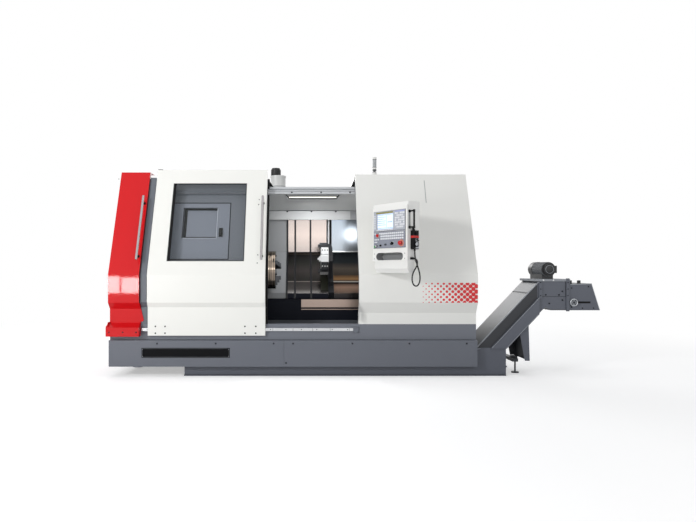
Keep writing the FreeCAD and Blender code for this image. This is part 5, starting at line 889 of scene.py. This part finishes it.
bearing = np.array([3.0, 0.078, 0.786])
dress(light_edge, "conveyor_shaft")
add_piece("bearing_ring", turned([(0.0405, 0.001), (0.0405, -0.003), (0.033, -0.003), (0.031, 0.001)],
                                 bearing, (0, 1, 0), 40), turned_steel, "conveyor_shaft", smooth=True)
screw_heads("bearing_screws", [bearing + (0.026 * math.cos(a), 0, 0.026 * math.sin(a))
                               for a in np.radians(np.arange(45, 405, 90))], 0.006, "conveyor_shaft")
add_piece("shaft_end", turned([(0.012, 0.001), (0.012, -0.004), (0.01, -0.005), (0, -0.005)], bearing,
                              (0, 1, 0), 24), dark_screw, "conveyor_shaft", smooth=True)
gear_axis = np.array([2.752, 0, 1.14])
# The fins and the hood ring are lighter than the black motor: painted highlights on its ribs and fan ring.
fin_highlight_grey = skin_finish("fin_highlight_grey", "#54575b", 0.35, 260, 0.3)
add_piece("gearmotor_fins", [hoop(y, 0.005, 0.0742, 0.0795, 0.001, gear_axis, (0, 1, 0), 56)
                             for y in np.arange(0.14, 0.385, 0.012)], fin_highlight_grey, smooth=True)
hood = [(0.0, -0.004), (0.05, -0.004), (0.06, 0.002), (0.0625, 0.008), (0.0625, 0.022)]
add_piece("gearmotor_fan_hood", turned(hood, gear_axis + (0, 0.112, 0), (0, 1, 0), 56), motor_black,
          smooth=True)
add_piece("gearmotor_hood_ring", flat_ring(0.04, 0.044, -0.0045, -0.006, gear_axis + (0, 0.112, 0), (0, 1, 0),
                                           48), light_edge, smooth=True)
add_piece("terminal_lid", block((2.866, 0.193, 1.103), (2.8695, 0.307, 1.177)), dark_screw, edge=0.001)


# ---------------------------------------------------------------------------------------------
# Control pendant: white enamelled housing with a grey slot for the hand. The screen unit holds a
# bright display and pale keys, the operator panel rows of keys, a stop button and small knobs.

swivel = math.radians(56)


def on_pendant(shape):
    """Turns a shape from the pendant's own axes, which are along its front, behind it and up, to
    its place: x = left + a cos t + b sin t, y = depth - a sin t + b cos t."""
    points, faces = shape
    a, b, z = np.asarray(points, float).T
    return np.stack([0.834 + a * math.cos(swivel) + b * math.sin(swivel),
                     -0.045 - a * math.sin(swivel) + b * math.cos(swivel), z], -1), faces


def pendant_piece(name, shapes, finish, body="pendant", smooth=False, edge=0.0):
    return add_piece(name, on_pendant(joined(*shapes)), finish, body, smooth, edge)


def key_caps(corners, wide, tall, proud):
    """Keys from their lower left corners, that stand proud of the pendant's face."""
    return [block((a, -proud, z), (a + wide, -0.0028, z + tall)) for a, z in corners]


pendant_white = skin_finish("pendant_white", "#f3f3f0", 0.38, 700, 0.08, 0.02, coat=0.15)
slot_grey = skin_finish("slot_grey", "#8b8d8e", 0.45)
screen_frame = skin_finish("screen_frame", "#b4b8c1", 0.4, 700, 0.12)
panel_grey = skin_finish("panel_grey", "#9094a0", 0.4, 700, 0.12)
key_white = skin_finish("key_white", "#e9ebef", 0.4, 900, 0.1)
key_grey = skin_finish("key_grey", "#c2c6cf", 0.4, 900, 0.1)
unit_edge = skin_finish("unit_edge", "#4a4d57", 0.45)
dress(pendant_white, "pendant_housing")
dress(screen_frame, "pendant_screen")
dress(panel_grey, "operator_panel")
dress(black_plastic, "pendant_fittings", "handheld_unit", "handheld_dial", "override_knob")
dress(signal_red, "estop_button", "cycle_button")

# Display: a glowing picture of plain fields behind a dark frame line.
display_glow = glowing(skin_finish("display_glow", "#c9d6ea", 0.2, 900, 0.02), "#c8d8f2", 0.75)
field_blue = skin_finish("field_blue", "#8ea6cf", 0.3, 900, 0.02)
field_olive = skin_finish("field_olive", "#8f8b4a", 0.35, 900, 0.02)
field_lavender = skin_finish("field_lavender", "#a9b0d8", 0.35, 900, 0.02)
pendant_piece("display_glass", [block((0.08, -0.0015, 1.552), (0.306, 0.0004, 1.704))], display_glow)
pendant_piece("display_fields", [block((0.080, -0.0019, z), (x, -0.0014, z + 0.004))
                                 for z, x in ((1.560, 0.306), (1.592, 0.200), (1.612, 0.186), (1.632, 0.200),
                                              (1.652, 0.170), (1.672, 0.200), (1.694, 0.306))]
              + [block((0.212, -0.0019, 1.570), (0.216, -0.0014, 1.690)),
                 block((0.228, -0.0019, 1.618), (0.296, -0.0014, 1.624))], field_blue)
pendant_piece("title_strip", [block((0.06, -0.0045, 1.7095), (0.306, -0.0028, 1.7245))], field_olive)
pendant_piece("key_title_strip", [block((0.334, -0.0045, 1.7125), (0.472, -0.0028, 1.7265))], field_lavender)
pendant_piece("soft_keys_left", key_caps([(0.03, 1.556 + 0.0182 * k) for k in range(8)], 0.02, 0.0125,
                                         0.0062), key_white, edge=0.001)
pendant_piece("soft_keys_below", key_caps([(0.066 + 0.0245 * k, 1.5355) for k in range(10)], 0.018, 0.01,
                                          0.0062), key_white, edge=0.001)
screen_grid = [(column, row) for row in range(7) for column in range(6)]
for name, finish, grey in (("screen_keys", key_white, False), ("screen_keys_grey", key_grey, True)):
    corners = [(0.3358 + 0.023 * c, 1.5538 + 0.023 * r) for c, r in screen_grid
               if ((r + 2 * c) % 5 == 0) == grey]
    pendant_piece(name, key_caps(corners, 0.0184, 0.0184, 0.0068), finish, edge=0.0012)
pendant_piece("unit_edges", [block((0.4765, -0.0036, 1.53), (0.4815, 0.004, 1.734)),
                             block((0.4765, -0.0036, 1.358), (0.4815, 0.004, 1.527)),
                             block((0.0185, -0.0034, 1.5275), (0.4815, 0.004, 1.5325)),
                             block((0.0185, -0.0034, 1.3565), (0.4815, 0.004, 1.3605)),
                             block((0.0185, -0.0034, 1.731), (0.4815, 0.004, 1.7335))], unit_edge)

# Operator panel: three rows of pale keys, small keys at the left, knobs with collars.
panel_grid = [(0.1258 + 0.028 * column, 1.4438 + 0.026 * row) for row in range(3) for column in range(12)]
pendant_piece("panel_keys", key_caps(panel_grid, 0.0224, 0.0174, 0.007), key_white, edge=0.0012)
small_keys = [(0.036, 1.44), (0.06, 1.44), (0.084, 1.44), (0.036, 1.414), (0.06, 1.414), (0.036, 1.5),
              (0.104, 1.5)]
pendant_piece("panel_small_keys", key_caps(small_keys, 0.016, 0.013, 0.0065), key_white, edge=0.001)
green = skin_finish("key_green", "#3f9a4c", 0.35, 900, 0.05)
pendant_piece("green_key", key_caps([(0.028, 1.366)], 0.018, 0.018, 0.0085), green, edge=0.0015)
toward = (0, -1, 0)
stop_orange = skin_finish("stop_orange", "#e58a72", 0.4, 900, 0.05)
pendant_piece("stop_collar", [turned([(0.0216, 0.002), (0.033, 0.002), (0.033, 0.006), (0.0216, 0.0068),
                                      (0.0216, 0.002)], (0.425, 0, 1.402), toward, 48)], stop_orange,
              smooth=True)
pendant_piece("stop_dome", [turned([(0.0202, 0.012), (0.0212, 0.016), (0.0212, 0.026), (0.019, 0.0305),
                                    (0.012, 0.0332), (0, 0.034)], (0.425, 0, 1.402), toward, 48)], signal_red,
              "estop_button", True)
pendant_piece("cycle_ring", [flat_ring(0.0145, 0.0185, 0.002, 0.0062, (0.082, 0, 1.488), toward, 40)],
              stop_orange, smooth=True)
pendant_piece("knob_scale", [flat_ring(0.0165, 0.0195, 0.003, 0.0045, (0.303, 0, 1.402), toward, 40)],
              key_white, smooth=True)
pendant_piece("knob_pointer", [block((0.3015, -0.0326, 1.404), (0.3045, -0.0315, 1.417))], key_white,
              "override_knob")
pendant_piece("small_knob_caps", [turned([(0.0095, 0.004), (0.0102, 0.006), (0.0098, 0.0158), (0, 0.0162)],
                                         (a, 0, z), toward, 32) for a, z in ((0.13, 1.385), (0.206, 1.392))],
              black_plastic, smooth=True)
pendant_piece("lamp_ring_cap", [turned([(0.0135, 0.003), (0.0142, 0.005), (0.0135, 0.0095), (0.0085, 0.01)],
                                       (0.062, 0, 1.382), toward, 32)], black_plastic, smooth=True)
pendant_piece("lamp_ring_lens", [turned([(0.0088, 0.009), (0.0088, 0.0102), (0, 0.011)], (0.062, 0, 1.382),
                                        toward, 32)], key_white, smooth=True)


def rounded_slot(left, right, middle, radius, near, far, steps=14):
    """The open wall of a long slot with round ends, from one depth to another."""
    a = np.linspace(-math.pi / 2, math.pi / 2, steps)
    along = np.concatenate([right - radius + radius * np.cos(a), left + radius - radius * np.cos(a)])
    up = middle + radius * np.concatenate([np.sin(a), -np.sin(a)])
    count = len(along)
    points = np.concatenate([np.stack([along, np.full(count, depth), up], -1) for depth in (near, far)])
    return points, [(i, (i + 1) % count, count + (i + 1) % count, count + i) for i in range(count)]


pendant_piece("grip_lining", [rounded_slot(0.0552, 0.4448, 1.272, 0.0378, 0.0002, 0.0895)], slot_grey,
              smooth=True)
pendant_piece("grip_rear_plate", [block((0.06, 0.088, 1.238), (0.44, 0.0895, 1.306))], slot_grey)
pendant_piece("housing_seams", [block((0.5045, 0.012, 1.23), (0.5055, 0.0135, 1.77)),
                                block((0.004, 0.0125, 1.7715), (0.501, 0.014, 1.7735))], strip_grey)
pendant_piece("grip_side_screws", [turned([(0, 0), (0.005, 0), (0.005, 0.001), (0, 0.002)], (a, 0, z), toward,
                                          14) for a in (0.028, 0.47) for z in (1.25, 1.3)], slot_grey,
              smooth=True)
pendant_piece("handle_plate", [block((0.5046, 0.018, 1.566), (0.5062, 0.04, 1.698))], slot_grey, edge=0.0005)
sideways = (1, 0, 0)
pendant_piece("handle_feet", [turned([(0.008, 0), (0.0145, 0), (0.0145, 0.006), (0.01, 0.01), (0.008, 0.01)],
                                     (0.505, 0.028, z), sideways, 28) for z in (1.552, 1.71)], black_plastic,
              smooth=True)
pendant_piece("handle_bends", [turned([(0.0105, -0.012), (0.0105, 0.012), (0, 0.012)],
                                      (0.5657, 0.0308, 1.552), (0, 0, 1), 24),
                               turned([(0, -0.012), (0.0105, -0.012), (0.0105, 0.012)],
                                      (0.5657, 0.0308, 1.71), (0, 0, 1), 24),
                               rod((0.5664, 0.0295, 1.543), (0.5664, 0.0295, 1.719), 0.0092)], black_plastic,
              smooth=True)

# Handwheel unit: black case with a red band, a grey lower face with small controls and a neck.
band_red = skin_finish("band_red", "#c41a17", 0.35, 900, 0.08)
unit_grey = skin_finish("unit_grey", "#bfc2c7", 0.4, 900, 0.08)
pendant_piece("unit_red_band", [block((0.5094, 0.0394, 1.448), (0.5512, 0.1106, 1.47))], band_red, edge=0.001)
pendant_piece("unit_grey_face", [block((0.5095, 0.068, 1.345), (0.5508, 0.1106, 1.44))], unit_grey,
              edge=0.001)
pendant_piece("unit_controls", [turned([(0, 0), (0.009, 0), (0.009, 0.006), (0, 0.007)], (0.5505, b, z),
                                       sideways, 20) for b, z in ((0.098, 1.424), (0.082, 1.43))],
              black_plastic, smooth=True)
pendant_piece("unit_neck", [turned([(0.012, -0.002), (0.012, 0.012), (0.007, 0.016), (0.007, 0.04),
                                    (0, 0.044)], (0.53, 0.062, 1.521), (0, 0, 1), 24)], black_plastic,
              smooth=True)
pendant_piece("dial_rim", [turned([(0.0265, 0.0006), (0.0272, 0.002), (0.0272, 0.0115), (0.0215, 0.0128),
                                   (0.0215, 0.0118)], (0.55, 0.075, 1.386), sideways, 40)], black_plastic,
              "handheld_dial", True)
pendant_piece("dial_face", [turned([(0.021, 0.0118), (0.021, 0.0126), (0, 0.0126)], (0.55, 0.075, 1.386),
                                   sideways, 40)], unit_grey, "handheld_dial", True)

# The unit's cable: a rubber cord that hangs in one long drop loop and comes back to its clip.
cable_rubber = skin_finish("cable_rubber", "#131416", 0.55, 900, 0.3)
route = [(25, 75, 1322), (25, 75, 1282), (25, 86, 1232), (27, 108, 1182), (29, 130, 1128), (30, 144, 1070),
         (30, 138, 1014), (29, 106, 976), (28, 62, 982), (26, 38, 1022), (22, 42, 1074), (17, 64, 1116),
         (14, 96, 1150), (13, 122, 1184), (13, 124, 1222), (13, 98, 1249), (13, 64, 1249)]
places = on_pendant((np.array(route) / 1000 + (0.505, 0, 0), []))[0] + (0, front, 0)
cable_curve = bpy.data.curves.new("handwheel_cable", "CURVE")
cable_curve.dimensions = "3D"
line = cable_curve.splines.new("NURBS")
line.points.add(len(places) - 1)
for point, place in zip(line.points, places):
    point.co = (*place, 1)
line.order_u = 3
line.use_endpoint_u = True
cable_curve.bevel_depth = 0.007
cable_curve.bevel_resolution = 4
cable_curve.resolution_u = 8
cable_curve.materials.append(cable_rubber)
cable = bpy.data.objects.new("handwheel_cable", cable_curve)
scene.collection.objects.link(cable)
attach(cable, "pendant")
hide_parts("handheld_cable")
